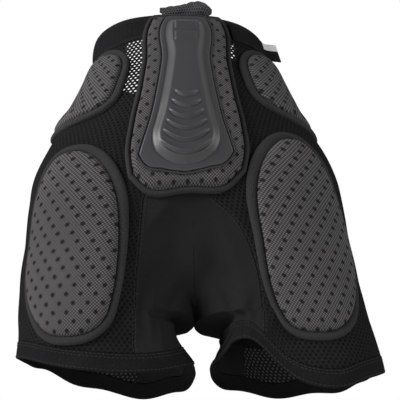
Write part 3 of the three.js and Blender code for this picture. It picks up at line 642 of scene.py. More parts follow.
def build_shell(sizes):
    """The mesh cloth of the trunk and legs: one grid for each side, whose columns run from the seat
    panel's edge behind, round the outside, to its edge in front."""
    share = np.linspace(-1, 1, SHELL_COLUMNS)[None, :]
    blocks = []
    for side in HALVES:
        bearing, depth = cloth_grid(
            side, lambda d, side=side: share * gusset_bearing(side, d), WAISTBAND_HEIGHT, SHELL_ROWS
        )
        grid = cloth(side, bearing, depth)
        blocks.append((grid, cloth_map(grid, bearing, depth, -90.0), side < 0))
    points, faces, uv = patches(blocks)
    x, y, z = points.T
    left = (x > -CLEAR_LEFT) & (x < 0) & (z > -CLEAR_DEPTH)
    right = (x < CLEAR_RIGHT) & (x > 0) & (z > -CLEAR_RIGHT_DEPTH)
    low = (y > 0) & (z < -CLEAR_FOOT)
    clear = np.where((y < 0) & (left | right), 1.0, np.where(low, FOOT_SHARE, 0.0))
    marks = [("clear", clear)]
    shell = make_piece("mesh_cloth", points, faces, "net", uv, closed=False, merge=True, attributes=marks)
    thicken(shell, sizes.cloth_thickness)
    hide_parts("mesh_shell")
    declare_cloth([block[0] for block in blocks])


def soft_valley(grid, middle, face):
    """Rounds the valley where the legs' ovals meet. Across a row it is a V with the slope of the
    row's last step, and within the valley's width it becomes the parabola that touches the V. The
    width fades out towards the crotch."""
    x, y, _ = np.moveaxis(grid[:, -1] - grid[:, -2], -1, 0)
    slope = np.clip(abs(y / np.where(abs(x) > 1e-3, x, 1e-3)), 0, STEEPEST_VALLEY)[:, None]
    width = VALLEY_WIDTH * smooth((CROTCH - 2 + grid[:, :1, 2]) / VALLEY_FADE) + 1e-3
    away = np.clip(width - abs(grid[..., 0] - middle), 0, None)
    rounded = grid.copy()
    rounded[..., 1] += face * slope * away**2 / (2 * width)
    return rounded


def build_gusset(sizes):
    """The stretch panel: four grids, behind and in front on each side, whose columns run from its
    edge to the seam in the middle, or to the inside of the leg below the crotch. A row of stitches
    runs along each side of its edge."""
    share = np.linspace(0, 1, PANEL_COLUMNS)[None, :]
    blocks, rows = [], []
    for side, face in [(side, face) for side in HALVES for face in HALVES]:

        def bearings(depth, side=side, face=face):
            edge = gusset_bearing(side, depth)
            return face * (edge + share * (seam_bearing(depth) - edge))

        bearing, depth = cloth_grid(side, bearings, GUSSET_TOP + 1, PANEL_ROWS)
        grid = soft_valley(cloth(side, bearing, depth), section(depth)["sway"], face)
        blocks.append((grid, cloth_map(grid, bearing, depth, bearing[:, 0]), side * face < 0))
        for out in (-SEAM_HALF_TURN, SEAM_HALF_TURN):

            def edges(depth, side=side, face=face, out=out):
                return face * (gusset_bearing(side, depth) - out)

            bearing, depth = cloth_grid(side, edges, GUSSET_TOP + 12, PANEL_ROWS)
            rows.append(path_on_cloth(side, bearing[:, 0], depth[:, 0], SEAM_RISE))
    points, faces, uv = patches(blocks)
    gusset = make_piece("seat_panel", points, faces, "stretch_cloth", uv, closed=False, merge=True)
    thicken(gusset, sizes.cloth_thickness)
    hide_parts("seat_gusset")
    declare_cloth([block[0] for block in blocks])
    seams = stitch_rows("panel_stitches", rows, sizes, 0.45)


def band(name, node, stations, top_of, height):
    """A band round the garment: at each station a rounded oblong of the wall's thickness, carried
    round the cloth. Its corners are quarter circles and its faces have a faint gather."""
    half = BAND_WALL / 2
    bend = np.linspace(0, np.pi / 2, 5)
    top = np.stack([half - half * np.sin(bend), half * np.cos(bend)], -1)
    flat = np.stack([np.linspace(half, height - half, 15), np.full(15, half)], -1)[1:-1]
    foot = top * [-1, 1] + [height, 0]
    outside = np.vstack([top[::-1], flat, foot])
    down, out = np.vstack([outside, outside[-2:0:-1] * [1, -1]]).T[:, None, :]
    rings, maps, reach = [], [], 0.0
    for side, bearings in stations:
        depth = top_of(side, bearings)[:, None] + down
        gather = BAND_GATHER * np.sin(bearings * 1.9)[:, None] * np.sin(np.pi * down / height)
        ring = on_cloth(side, bearings[:, None] + 0 * depth, depth, out - half + BAND_PROUD + gather, True)
        rings.append(ring)
        along = arc_lengths(ring, 0)
        maps.append(np.stack([reach + along, down + 0 * along], -1))
        reach += along[-1].mean()
    points, faces = rings_body(np.vstack(rings), closed=True)
    piece = make_piece(name, points, faces, "band_cloth", np.vstack(maps).reshape(-1, 2))
    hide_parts(node)


def waist_stations():
    """Both halves of the waist, from the back round the right to the front and round the left."""
    quarter = np.linspace(-90, 90, 181)
    return [(1, quarter[:-1]), (-1, quarter[::-1][:-1])]


def hem_band_top(side, bearing):
    """Depth of the top of a leg's hem band."""
    return hem(side, bearing) - HEM_BAND_HEIGHT


def build_bands(sizes):
    """The waistband and the two hem bands, with their rows of stitches."""
    waist = waist_stations()
    band("waist_band", "waistband", waist, lambda side, bearing: 0 * bearing, WAISTBAND_HEIGHT)
    rows = [row_on_cloth(waist, lambda s, b, d=d: d + 0 * b, ROW_RISE) for d in WAIST_ROWS]
    leg = np.linspace(-180, 180, 241)
    for side, name in zip(HALVES, ("left", "right")):
        band(f"{name}_hem_band", f"{name}_leg_hem", [(side, leg[:-1])], hem_band_top, HEM_BAND_HEIGHT)
        for drop in HEM_ROWS:
            rows.append(
                row_on_cloth([(side, leg)], lambda s, b, drop=drop: hem_band_top(s, b) + drop, ROW_RISE)
            )
    stitches = stitch_rows("band_stitches", rows, sizes, 0.5)


def oval_outline(pad, count):
    """Outline of a pad in its own plane: a superellipse whose width changes with height by the
    taper, whose foot is carried sideways by the lean and which is sheared by the slant."""
    turn = 2 * np.pi * np.arange(count) / count
    x = np.sign(np.cos(turn)) * abs(np.cos(turn)) ** (2 / pad["power"])
    y = np.sign(np.sin(turn)) * abs(np.sin(turn)) ** (2 / pad["power"])
    foot = np.where(y < 0, pad["lean"] * pad["width"] * y * y, 0)
    up = pad["height"] / 2 * y
    across = pad["width"] / 2 * x * (1 + pad["taper"] * y) + foot + pad["slant"] * up
    return even(np.stack([across, up], -1), count)


def even(outline, count):
    """Closed outline taken at even steps of its length."""
    loop = np.vstack([outline, outline[:1]])
    reach = np.concatenate([[0], np.cumsum(np.linalg.norm(np.diff(loop, axis=0), axis=1))])
    at = np.linspace(0, reach[-1], count, endpoint=False)
    return np.stack([np.interp(at, reach, loop[:, k]) for k in range(2)], -1)


def side_outline(edge, foot, half_width, length, count):
    """Closed outline with straight top, sides from one table and foot from the other."""
    down = np.linspace(0, edge["along"][-1], count)
    right = np.stack([half_width * read(edge, "along", "across", down), -length * down], -1)
    across = np.linspace(foot["across"][-1], 0, count)[1:]
    low = np.stack([half_width * across, -length * read(foot, "across", "along", across)], -1)
    half = np.vstack([right, low])
    return even(np.vstack([half, half[::-1] * [-1, 1]]), count)


def inset(outline, distance):
    """Outline moved inwards along the normals of its chords."""
    before, after = np.roll(outline, 1, axis=0), np.roll(outline, -1, axis=0)
    x, y = outline.T
    area = (x * after[:, 1] - after[:, 0] * y).sum()
    chord = after - before
    turn = np.sign(area) * distance / np.linalg.norm(chord, axis=1)
    return np.stack([x - chord[:, 1] * turn, y + chord[:, 0] * turn], -1)


def lay_oval(pad):
    """Lays a pad's plane on a leg's cloth: x goes round the leg and y up. What lies under the plane
    follows the folds, just inside the wall of the cloth."""
    side, middle = pad["side"], pad["down"] * LENGTH
    before = cloth(side, pad["bearing"] - 1, middle, False)
    per_degree = np.linalg.norm(cloth(side, pad["bearing"] + 1, middle, False) - before) / 2

    def lay(x, y, height):
        bearing, depth = pad["bearing"] + x / per_degree, middle - y
        under = on_cloth(side, bearing, depth, 0 * x - SUNK_EDGE, True)
        return np.where((height < 0)[..., None], under, on_cloth(side, bearing, depth, height))

    return lay


def behind(x, depth):
    """Point just inside the wall of the cloth's back at a sideways place."""
    s = section(depth)
    halves = []
    for side in HALVES:
        across = side * (x - s["sway"]) - s["centre"]
        bearing = -bearing_at(across, np.where(across > 0, s["outer"], s["inner"]))
        halves.append(on_cloth(side, bearing, depth, 0 * x - SUNK_EDGE, True))
    return np.where((x > s["sway"])[..., None], halves[1], halves[0])


def lay_back(x, y, height):
    """Lays the tailbone pad's plane behind the waist: x goes to the right and y up from its top.
    What lies under the plane is put just inside the wall of the cloth."""
    share = x / TAILBONE_HALF_WIDTH
    z = WAIST_DIP - TAILBONE_MARGIN + y + TAILBONE_SKEW * share * (y / TAILBONE_LENGTH) ** 2
    dipped = (WAIST_DIP - z) / (1 + 3 * WAIST_DIP / LENGTH)
    depth = np.maximum(0, np.where(z > -LENGTH / 3, dipped, -z))
    bow = BACK_DEPTH * read(BED, "down", "bow", depth / LENGTH)
    back = section(depth)["back"] + CLEARANCE + height
    above = np.stack([TAILBONE_OFFSET + x, bow * share * share - back, z], -1)
    under = behind(TAILBONE_OFFSET + x, depth)
    under[..., 1] = np.minimum(under[..., 1], above[..., 1] + height - SUNK_EDGE)
    return np.where((height < 0)[..., None], under, above)


def foam_pad(name, node, edge, crown, lay, rings):
    """A foam pad: its outline drawn in towards its middle ring by ring, each at the crown's height
    for its share of the way out, with a faint swelling that sinks at the cover's seams."""
    middle = edge.mean(axis=0)
    out = 1 - np.linspace(0.001, 1, rings) ** 1.5
    share = np.concatenate([UNDER_SHARES, out])
    rise = PAD_THICKNESS * read(crown, "out", "height", out)
    height = np.concatenate([np.full(len(UNDER_SHARES), -BLANK_DEPTH), rise])
    plane = middle + (edge - middle)[None] * share[:, None, None]
    x, y = plane[..., 0], plane[..., 1]
    soft = 0.25 * np.sin(x / 11.0) * np.sin(y / 13.0 + 1)
    tall = height[:, None] + np.where(height[:, None] > 5, soft, 0)
    points, faces = rings_body(lay(x, y, tall))
    ends = plane[[0, -1]].mean(axis=1)
    uv = np.vstack([plane.reshape(-1, 2), ends])
    piece = make_piece(name, points, faces, "covered_foam", uv)
    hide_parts(node)


def binding(name, node, outline, width, lay):
    """A binding: a rounded profile carried round the pad's edge, puckered by a wave along it that is
    deepest between the stitches."""
    turn = np.linspace(0, np.pi, 13)
    way = width * (0.5 - 0.5 * np.cos(turn))
    rise = BINDING_THICKNESS * np.sin(turn) ** 0.55 * (1 - 0.15 * np.cos(turn + 2.2))
    way = np.concatenate([[width * 0.98, width * 0.02], way])
    rise = np.concatenate([[-BLANK_DEPTH, -BLANK_DEPTH], rise])
    loops = np.array([inset(outline, step) for step in way])
    reach = arc_lengths(outline[None], 1)[0]
    pucker = PUCKER * np.sin(2 * np.pi * reach / PUCKER_PITCH)[None] * np.where(rise > 1, 1, 0)[:, None]
    x, y = loops[..., 0], loops[..., 1]
    points, faces = rings_body(lay(x, y, rise[:, None] + pucker), closed=True)
    uv = np.stack([reach[None] + 0 * x, way[:, None] + 0 * x], -1).reshape(-1, 2)
    piece = make_piece(name, points, faces, "binding_tape", uv)
    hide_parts(node)


def binding_stitches(outline, width, lay):
    """Path and normals of the stitches that hold a binding, near its inner edge."""
    line = inset(outline, STITCH_PLACE * width)
    loop = np.vstack([line, line[:1]])
    flat = STITCH_RISE * BINDING_THICKNESS + np.zeros(len(loop))
    low = lay(loop[:, 0], loop[:, 1], flat)
    return low, lay(loop[:, 0], loop[:, 1], flat + 1) - low


def build_oval_pads(sizes):
    """The hip and thigh pads with their bindings and stitches."""
    rows = []
    for name, pad in OVAL_PADS.items():
        outline, lay = oval_outline(pad, 300), lay_oval(pad)
        edge = inset(outline, BINDING_WIDTH - OVAL_LAP)
        foam_pad(f"{name}_foam", f"{name}_pad", edge, OVAL_CROWN, lay, 60)
        binding(f"{name}_tape", f"{name}_binding", outline, BINDING_WIDTH, lay)
        rows.append(binding_stitches(outline, BINDING_WIDTH, lay))
    stitches = stitch_rows("pad_stitches", rows, sizes, 0.5)


def build_tailbone(sizes):
    """The tailbone pad with its binding and stitches."""
    outline = side_outline(TAILBONE_EDGE, TAILBONE_FOOT, TAILBONE_HALF_WIDTH, TAILBONE_LENGTH, 360)
    edge = inset(outline, TAILBONE_BINDING_WIDTH - TAILBONE_LAP)
    foam_pad("tailbone_foam", "tailbone_pad", edge, TAILBONE_CROWN, lay_back, 70)
    binding("tailbone_tape", "tailbone_binding", outline, TAILBONE_BINDING_WIDTH, lay_back)
    rows = [binding_stitches(outline, TAILBONE_BINDING_WIDTH, lay_back)]
    stitches = stitch_rows("tailbone_stitches", rows, sizes, 0.45)


def corner_distance(first, second, radius):
    """Distance inside two edges whose corner is rounded."""
    short, other = np.maximum(radius - first, 0), np.maximum(radius - second, 0)
    return np.where((short > 0) & (other > 0), radius - np.hypot(short, other), np.minimum(first, second))


def plate_relief(across, x, y, half, foot):
    """Height of the plate over its seat. The flange rises over its rounded edge, the dome over a
    slope inside it with wide round corners at the foot, and its top is crowned. Steps are oblong
    blocks with soft edges, and ribs are bells, steeper below, across curves that hang lowest in
    their middle, each with a groove under it."""
    side = (1 - abs(across)) * half
    distance = np.minimum(
        corner_distance(side, foot - y, PLATE_CORNER), corner_distance(side, y, PLATE_CORNER)
    )
    height = FLANGE_THICKNESS * np.sqrt(np.clip(1 - (1 - np.clip(distance / 1.8, 0, 1)) ** 2, 0, 1))
    low, high = corner_distance(side, foot - y, DOME_FOOT_CORNER), corner_distance(side, y, DOME_TOP_CORNER)
    inside = np.minimum(low, high)
    groove = np.exp(-(((inside - FLANGE_WIDTH) / GROOVE_WIDTH) ** 2))
    height -= GROOVE_DEPTH * groove * smooth(distance / PLATE_CORNER)
    dome = smooth((inside - FLANGE_WIDTH - 0.8) / DOME_SLOPE)
    height += DOME_HEIGHT * dome * (0.72 + 0.28 * (1 - across**2))
    relief = np.zeros_like(height)
    for k in range(STEP_COUNT):
        middle = FIRST_STEP_DROP + k * STEP_PITCH
        block = np.minimum(STEP_HALF_WIDTH + 1 - abs(x), STEP_HEIGHT / 2 + 1 - abs(y - middle))
        relief += STEP_RELIEF * 0.8 * smooth(block / 2.2) * (0.6 + 0.4 * (x / STEP_HALF_WIDTH) ** 2)
        relief -= STEP_GROOVE * np.exp(-(((block + 0.5) / 0.9) ** 2))
    # Lighter colour on the ribs, strongest towards their ends: partly wear, partly painted highlight.
    wear_and_highlight = np.zeros_like(height)
    for k in range(RIB_COUNT):
        share = k / (RIB_COUNT - 1)
        span = FIRST_RIB_HALF_SPAN + share * (LAST_RIB_HALF_SPAN - FIRST_RIB_HALF_SPAN)
        bow = np.clip(1 - (x / span) ** 2, 0, 1)
        curve = FIRST_RIB_DROP + k * RIB_PITCH + RIB_SAG * span * bow
        width = RIB_RADIUS * (0.5 + 0.7 * bow) * np.where(y > curve, 0.6, 1.3)
        fade = smooth(2.2 * np.clip(1.04 - (x / span) ** 2, 0, 1))
        rib = fade * np.exp(-(((y - curve) / width) ** 2))
        relief += (0.75 + 0.25 * share) * RIB_RADIUS * rib
        relief -= RIB_GROOVE * fade * np.exp(-(((y - curve - RIB_GROOVE_DROP) / 1.5) ** 2))
        wear_and_highlight = np.maximum(wear_and_highlight, rib * (0.35 + 0.65 * (x / span) ** 2))
    return height + relief * dome, wear_and_highlight * dome


def build_plate():
    """The moulded plate: a grid whose columns run from the flat top to the curved foot. Its width
    at a depth and its foot under a column come from the two tables of its outline."""
    across = np.sin(np.linspace(-np.pi / 2, np.pi / 2, 141))[None, :]
    share = (0.5 - 0.5 * np.cos(np.linspace(0, np.pi, 321)))[:, None]
    foot = PLATE_LENGTH * read(PLATE_FOOT, "across", "along", abs(across) * PLATE_FOOT["across"][-1])
    y = foot * share
    half = PLATE_HALF_WIDTH * read(PLATE_EDGE, "along", "across", y / PLATE_LENGTH)
    x = across * half
    height, relief = plate_relief(across, x, y, half, foot)
    seat = PAD_THICKNESS + 2 * CLEARANCE
    top = lay_back(x + PLATE_OFFSET, -y - PLATE_DROP, seat + 0.3 + height)
    low = lay_back(x + PLATE_OFFSET, -y - PLATE_DROP, seat + 0 * x)
    points, faces = slab(top, low)
    uv = np.vstack([np.stack([x, y], -1).reshape(-1, 2)] * 2)
    # Mask of the lighter rib colour, partly wear and partly painted highlight; none on the underside.
    worn = np.concatenate([relief.ravel(), 0 * relief.ravel()])
    plate = make_piece("tailbone_guard", points, faces, "moulded", uv, attributes=[("relief", worn)])
    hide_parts("tailbone_plate")
    outline = side_outline(PLATE_EDGE, PLATE_FOOT, PLATE_HALF_WIDTH, PLATE_LENGTH, 320)
    points, faces, uv = tube_round(outline, PIPING_MARGIN + PIPING_RADIUS, PIPING_RADIUS)
    piping = make_piece("plate_piping", points, faces, "piping_cord", uv)
    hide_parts("tailbone_piping")


def tube_round(outline, way, radius):
    """A round cord that lies on the pad at a distance outside an outline."""
    turn = 2 * np.pi * np.arange(10) / 10
    loops = np.array([inset(outline, -way - radius * np.cos(t)) for t in turn])
    height = PAD_THICKNESS + 0.3 + radius * (1 + np.sin(turn))
    x, y = loops[..., 0] + PLATE_OFFSET, loops[..., 1] - PLATE_DROP
    points, faces = rings_body(lay_back(x, y, height[:, None] + 0 * x), closed=True)
    reach = arc_lengths(outline[None], 1)
    uv = np.stack([reach + 0 * x, radius * turn[:, None] + 0 * x], -1).reshape(-1, 2)
    return points, faces, uv


def build_roll():
    """The bunched cloth over the top of the pad: rings along a ridge whose height follows a table,
    each one rippled by two waves that turn along it."""
    across = np.linspace(-1, 1, 121)
    tall = read(ROLL, "across", "height", across)
    turn = 2 * np.pi * np.arange(64) / 64
    wide = 0.68 * ROLL_DEPTH * np.sqrt(np.maximum(tall, 0.02))
    foot = WAIST_DIP - 9.0 * smooth(4 * (1 - abs(across)))
    half = (WAIST_DIP + CLEARANCE + tall * ROLL_HEIGHT - foot) / 2
    bend = 7 * across[:, None]
    ripple = 1 + 0.07 * np.sin(3 * turn[None] + bend) + 0.05 * np.sin(5 * turn[None] - 2.3 * bend)
    y = -section(0.0)["back"] - 4 + wide[:, None] * np.cos(turn)[None] * ripple
    z = foot[:, None] + half[:, None] * (1 + np.sin(turn)[None] * ripple)
    x = ROLL_OFFSET + ROLL_HALF_WIDTH * across[:, None] + 0 * y
    points, faces = rings_body(np.stack([x, y, z], -1))
    uv = np.stack([x, turn[None] * 6 + 0 * x], -1).reshape(-1, 2)
    roll = make_piece("bunched_cloth", points, faces, "rolled_net", np.vstack([uv, uv[:1], uv[-1:]]))
    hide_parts("tailbone_roll")


def strap_station(share):
    """The strap's place at a share of its length: below 0.5 it lies on the waistband, and above it
    turns away from the waist along an arc. Gives a start point, its side bearing and its heading."""
    root = np.clip(share * 2, 0, 1)
    bearing = STRAP_BEARING - STRAP_ROOT * (1 - root)
    before = on_cloth(1, STRAP_BEARING - 1.0, STRAP_DROP, 0.0)
    heading = on_cloth(1, STRAP_BEARING + 1.0, STRAP_DROP, 0.0) - before
    start = np.arctan2(heading[1], heading[0])
    free = np.linspace(0, 1, 60)
    turn = start - np.radians(STRAP_END_TURN) * np.minimum(1, 2 * free)
    steps = np.stack([np.cos(turn), np.sin(turn)], -1) * STRAP_FREE_END / 59
    travel = np.vstack([[0, 0], np.cumsum(steps[1:], axis=0)])
    at = np.clip(share * 2 - 1, 0, 1)
    moved = np.stack([np.interp(at, free, travel[:, k]) for k in range(2)], -1)
    return bearing, moved, np.interp(at, free, turn)


def strap_points(share, depth, out):
    """Points of the strap at shares of its length, depths below the waist edge and heights."""
    bearing, moved, turn = strap_station(share)
    base = on_cloth(1, bearing, depth, np.where(share <= 0.5, out, 0.0))
    away = np.where(share > 0.5, out, 0.0)
    shift = np.stack([moved[..., 0] + away * np.sin(turn), moved[..., 1] - away * np.cos(turn), 0 * away], -1)
    return base + shift


def strip(name, shares, top, foot, inner, outer, slot):
    """A flat strip with rounded edges along the strap."""
    middle, half = (inner + outer) / 2, (outer - inner) / 2
    turn = np.radians(np.linspace(90, 270, 7))
    low = np.stack([foot - half + half * -np.cos(turn), middle + half * np.sin(turn)], -1)
    high = np.stack([top + half + half * np.cos(turn), middle - half * np.sin(turn)], -1)
    between = np.linspace(0, 1, 10)[1:-1, None]
    back, front = low[-1] + (high[0] - low[-1]) * between, high[-1] + (low[0] - high[-1]) * between
    profile = np.vstack([low, back, high, front])
    share = shares[:, None] + 0 * profile[None, :, 0]
    depth, out = profile[None, :, 0] + 0 * share, profile[None, :, 1] + 0 * share
    pinch = np.ones(len(shares))
    pinch[[0, -1]] = 0.6
    out = middle + (out - middle) * pinch[:, None]
    rings = strap_points(share, depth, out)
    points, faces = rings_body(rings)
    along = arc_lengths(rings, 0)
    uv = np.stack([along, depth], -1).reshape(-1, 2)
    return make_piece(name, points, faces, slot, np.vstack([uv, uv[:1], uv[-1:]]))


def build_strap(sizes):
    """The side strap with its bare strip and the stitches round its edge."""
    outer = 0.6 + STRAP_THICKNESS
    shares = np.concatenate([np.linspace(0, 1, 61)[:-1], [0.995, 1.0]])
    strap = strip("side_strap", shares, STRAP_DROP, STRAP_DROP + STRAP_HEIGHT, 0.2, outer, "strap_cloth")
    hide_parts("waist_strap")
    top = STRAP_DROP + TAB_MARGIN
    tab_shares = np.concatenate([[0.5, 0.505], np.linspace(0.52, 0.98, 30), [0.985, 0.99]])
    tab = strip(
        "side_strap_strip", tab_shares, top, top + TAB_HEIGHT, outer, outer + TAB_THICKNESS, "bare_tab"
    )
    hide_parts("strap_tab")
    share = np.linspace(0.02, 0.985, 120)
    rows = []
    for depth in (STRAP_DROP + 1.4, STRAP_DROP + STRAP_HEIGHT - 2.2):
        low = strap_points(share, depth + 0 * share, outer + 0 * share)
        rows.append((low, strap_points(share, depth + 0 * share, outer + 1 + 0 * share) - low))
    stitches = stitch_rows("strap_stitches", rows, sizes, 0.45)


def node(tree, kind, *inputs, **settings):
    """Adds a node and feeds its inputs in order: a socket is linked, and a value is set."""
    made = tree.nodes.new(kind)
    for key, value in settings.items():
        setattr(made, key, value)
    for place, value in enumerate(inputs):
        if isinstance(value, bpy.types.NodeSocket):
            tree.links.new(value, made.inputs[place])
        elif value is not None:
            made.inputs[place].default_value = value
    return made


def sums(tree, operation, *inputs):
    """One step of arithmetic in a node tree."""
    return node(tree, "ShaderNodeMath", *inputs, operation=operation).outputs[0]


def group(name, inputs, outputs):
    """A shader node group with named sockets, and the nodes for its two ends."""
    tree = bpy.data.node_groups.new(name, "ShaderNodeTree")
    for label, kind, default in inputs:
        socket = tree.interface.new_socket(label, in_out="INPUT", socket_type=kind)
        if default is not None:
            socket.default_value = default
    for label, kind in outputs:
        tree.interface.new_socket(label, in_out="OUTPUT", socket_type=kind)
    return tree, tree.nodes.new("NodeGroupInput").outputs, tree.nodes.new("NodeGroupOutput").inputs


def make_dots_group():
    """Staggered dots: the map is cut into cells, every other row is shifted by half a cell, and a
    dot is the part of a cell nearer its middle than the radius, with a soft edge."""
    tree, given, out = group(
        "Staggered Dots",
        [
            ("Vector", "NodeSocketVector", None),
            ("Pitch", "NodeSocketFloat", 0.0068),
            ("Row", "NodeSocketFloat", 0.0043),
            ("Radius", "NodeSocketFloat", 0.0017),
            ("Softness", "NodeSocketFloat", 0.0003),
        ],
        [("Mask", "NodeSocketFloat")],
    )
    place = node(tree, "ShaderNodeSeparateXYZ", given["Vector"]).outputs
    row = sums(tree, "DIVIDE", place[1], given["Row"])
    odd = sums(tree, "MULTIPLY", sums(tree, "PINGPONG", sums(tree, "FLOOR", row), 1.0), 0.5)
    column = sums(tree, "ADD", sums(tree, "DIVIDE", place[0], given["Pitch"]), odd)
    x = sums(tree, "MULTIPLY", sums(tree, "SUBTRACT", sums(tree, "FRACT", column), 0.5), given["Pitch"])
    y = sums(tree, "MULTIPLY", sums(tree, "SUBTRACT", sums(tree, "FRACT", row), 0.5), given["Row"])
    square = sums(tree, "ADD", sums(tree, "MULTIPLY", x, x), sums(tree, "MULTIPLY", y, y))
    distance = sums(tree, "SQRT", square)
    inner = sums(tree, "SUBTRACT", given["Radius"], given["Softness"])
    outer = sums(tree, "ADD", given["Radius"], given["Softness"])
    mask = node(tree, "ShaderNodeMapRange", distance, outer, inner, 0.0, 1.0, interpolation_type="SMOOTHSTEP")
    tree.links.new(mask.outputs[0], out["Mask"])


def make_weave_group():
    """Crossed weave: two waves along the map's diagonals, added together."""
    tree, given, out = group(
        "Crossed Weave",
        [("Vector", "NodeSocketVector", None), ("Pitch", "NodeSocketFloat", 0.0024)],
        [("Height", "NodeSocketFloat")],
    )
    place = node(tree, "ShaderNodeSeparateXYZ", given["Vector"]).outputs
    scale = sums(tree, "DIVIDE", 2 * np.pi, given["Pitch"])
    rise = sums(tree, "SINE", sums(tree, "MULTIPLY", sums(tree, "ADD", place[0], place[1]), scale))
    fall = sums(tree, "SINE", sums(tree, "MULTIPLY", sums(tree, "SUBTRACT", place[0], place[1]), scale))
    height = sums(tree, "MULTIPLY_ADD", sums(tree, "ADD", rise, fall), 0.25, 0.5)
    tree.links.new(height, out["Height"])


def make_ribs_group():
    """Ribs: one wave along the map's first axis and a finer, fainter one along its second."""
    tree, given, out = group(
        "Woven Ribs",
        [
            ("Vector", "NodeSocketVector", None),
            ("Pitch", "NodeSocketFloat", 0.0016),
            ("Cross", "NodeSocketFloat", 0.0011),
        ],
        [("Height", "NodeSocketFloat")],
    )
    place = node(tree, "ShaderNodeSeparateXYZ", given["Vector"]).outputs
    along, over = (
        sums(tree, "SINE", sums(tree, "MULTIPLY", place[axis], sums(tree, "DIVIDE", 2 * np.pi, given[step])))
        for axis, step in enumerate(("Pitch", "Cross"))
    )
    height = sums(tree, "MULTIPLY_ADD", sums(tree, "MULTIPLY_ADD", over, 0.4, along), 0.35, 0.5)
    tree.links.new(height, out["Height"])


def make_wear_group():
    """Wear: broad noise darkens and lightens a colour, and fine noise adds lint above a threshold.
    It also gives a roughness that follows the broad noise."""
    tree, given, out = group(
        "Cloth Wear",
        [
            ("Color", "NodeSocketColor", (0.1, 0.1, 0.1, 1)),
            ("Lint", "NodeSocketColor", (0.3, 0.3, 0.3, 1)),
            ("Amount", "NodeSocketFloat", 0.3),
            ("Roughness", "NodeSocketFloat", 0.8),
        ],
        [("Color", "NodeSocketColor"), ("Roughness", "NodeSocketFloat")],
    )
    place = node(tree, "ShaderNodeTexCoord").outputs["Object"]
    broad = node(tree, "ShaderNodeTexNoise", place, None, 14.0, 4.0).outputs[0]
    fine = node(tree, "ShaderNodeTexNoise", place, None, 900.0, 2.0).outputs[0]
    swing = sums(tree, "MULTIPLY", sums(tree, "SUBTRACT", broad, 0.5), given["Amount"])
    gain = sums(tree, "MULTIPLY_ADD", swing, 2.0, 1.0)
    shade = node(tree, "ShaderNodeVectorMath", given["Color"], operation="SCALE")
    tree.links.new(gain, shade.inputs["Scale"])
    lint = node(tree, "ShaderNodeMapRange", fine, 0.62, 0.78, 0.0, 0.5).outputs[0]
    linty = mix(tree, sums(tree, "MULTIPLY", lint, given["Amount"]), shade.outputs[0], given["Lint"])
    tree.links.new(linty, out["Color"])
    rough = sums(tree, "ADD", given["Roughness"], sums(tree, "MULTIPLY", swing, 0.4))
    tree.links.new(rough, out["Roughness"])


def use_group(tree, name, **values):
    """Places a node group and sets or links its named inputs."""
    made = node(tree, "ShaderNodeGroup", node_tree=bpy.data.node_groups[name])
    for label, value in values.items():
        if isinstance(value, bpy.types.NodeSocket):
            tree.links.new(value, made.inputs[label])
        else:
            made.inputs[label].default_value = value
    return made.outputs


def finish(name, colour, roughness, amount=0.3, specular=0.0):
    """A material with worn colour and roughness. Gives its tree, shader, map and worn colour."""
    material = bpy.data.materials.new(f"{name}_finish")
    material.use_nodes = True
    tree = material.node_tree
    shader = tree.nodes["Principled BSDF"]
    shader.inputs["Specular IOR Level"].default_value = specular
    worn = use_group(tree, "Cloth Wear", Color=(*colour, 1), Lint=LINT, Amount=amount, Roughness=roughness)
    tree.links.new(worn["Color"], shader.inputs["Base Color"])
    tree.links.new(worn["Roughness"], shader.inputs["Roughness"])
    place = node(tree, "ShaderNodeUVMap", uv_map="cloth").outputs[0]
    return tree, shader, place, worn["Color"]


def relief(tree, shader, height, distance, strength=1.0):
    """Feeds a height into the shader's normal."""
    bump = tree.nodes.new("ShaderNodeBump")
    bump.inputs["Strength"].default_value = strength
    bump.inputs["Distance"].default_value = distance
    tree.links.new(height, bump.inputs["Height"])
    tree.links.new(bump.outputs[0], shader.inputs["Normal"])


def mix(tree, factor, first, second):
    """Colour between two others, each of them a socket or a colour."""
    return node(tree, "ShaderNodeMix", factor, *[None] * 5, first, second, data_type="RGBA").outputs[2]


def darken(tree, shader, colour, mask, dark):
    """Mixes a colour towards a dark grey where a mask is 1."""
    mixed = mix(tree, mask, colour, (dark, dark, dark, 1))
    tree.links.new(mixed, shader.inputs["Base Color"])
    return mixed


def make_roll_cloth(colours):
    """Knit of the bunched cloth with staggered pits, painted darker as painted shade in them."""
    tree, shader, place, worn = finish("rolled_net", colours.roll, 0.85)
    shaded_pits = use_group(
        tree, "Staggered Dots", Vector=place, Pitch=0.0032, Row=0.0022, Radius=0.0008, Softness=0.0005
    )["Mask"]
    # Pits painted darker: painted shade.
    darken(tree, shader, worn, shaded_pits, 0.006)
    relief(tree, shader, sums(tree, "SUBTRACT", 1.0, shaded_pits), 0.0006)


def make_net(sizes, colours):
    """Open knitted mesh: staggered holes that are clear behind, where it is a single layer, and closed and
    painted dark in front, a painted shade of the inside seen through them."""
    tree, shader, place, worn = finish("net", colours.net, 0.85)
    hole = use_group(
        tree, "Staggered Dots", Vector=place, Pitch=sizes.hole_pitch, Row=sizes.hole_row,
        Radius=sizes.hole_radius, Softness=0.0002,
    )["Mask"]
    # Holes painted darker where they are not clear: painted shade of the inside seen through them.
    darken(tree, shader, worn, hole, 0.0055)
    weave = use_group(tree, "Crossed Weave", Vector=place, Pitch=0.0011)["Height"]
    height = sums(tree, "SUBTRACT", sums(tree, "MULTIPLY", weave, 0.3), hole)
    relief(tree, shader, height, 0.00018)
    clear = node(tree, "ShaderNodeAttribute", attribute_name="clear").outputs["Fac"]
    tree.links.new(sums(tree, "SUBTRACT", 1.0, sums(tree, "MULTIPLY", hole, clear)), shader.inputs["Alpha"])


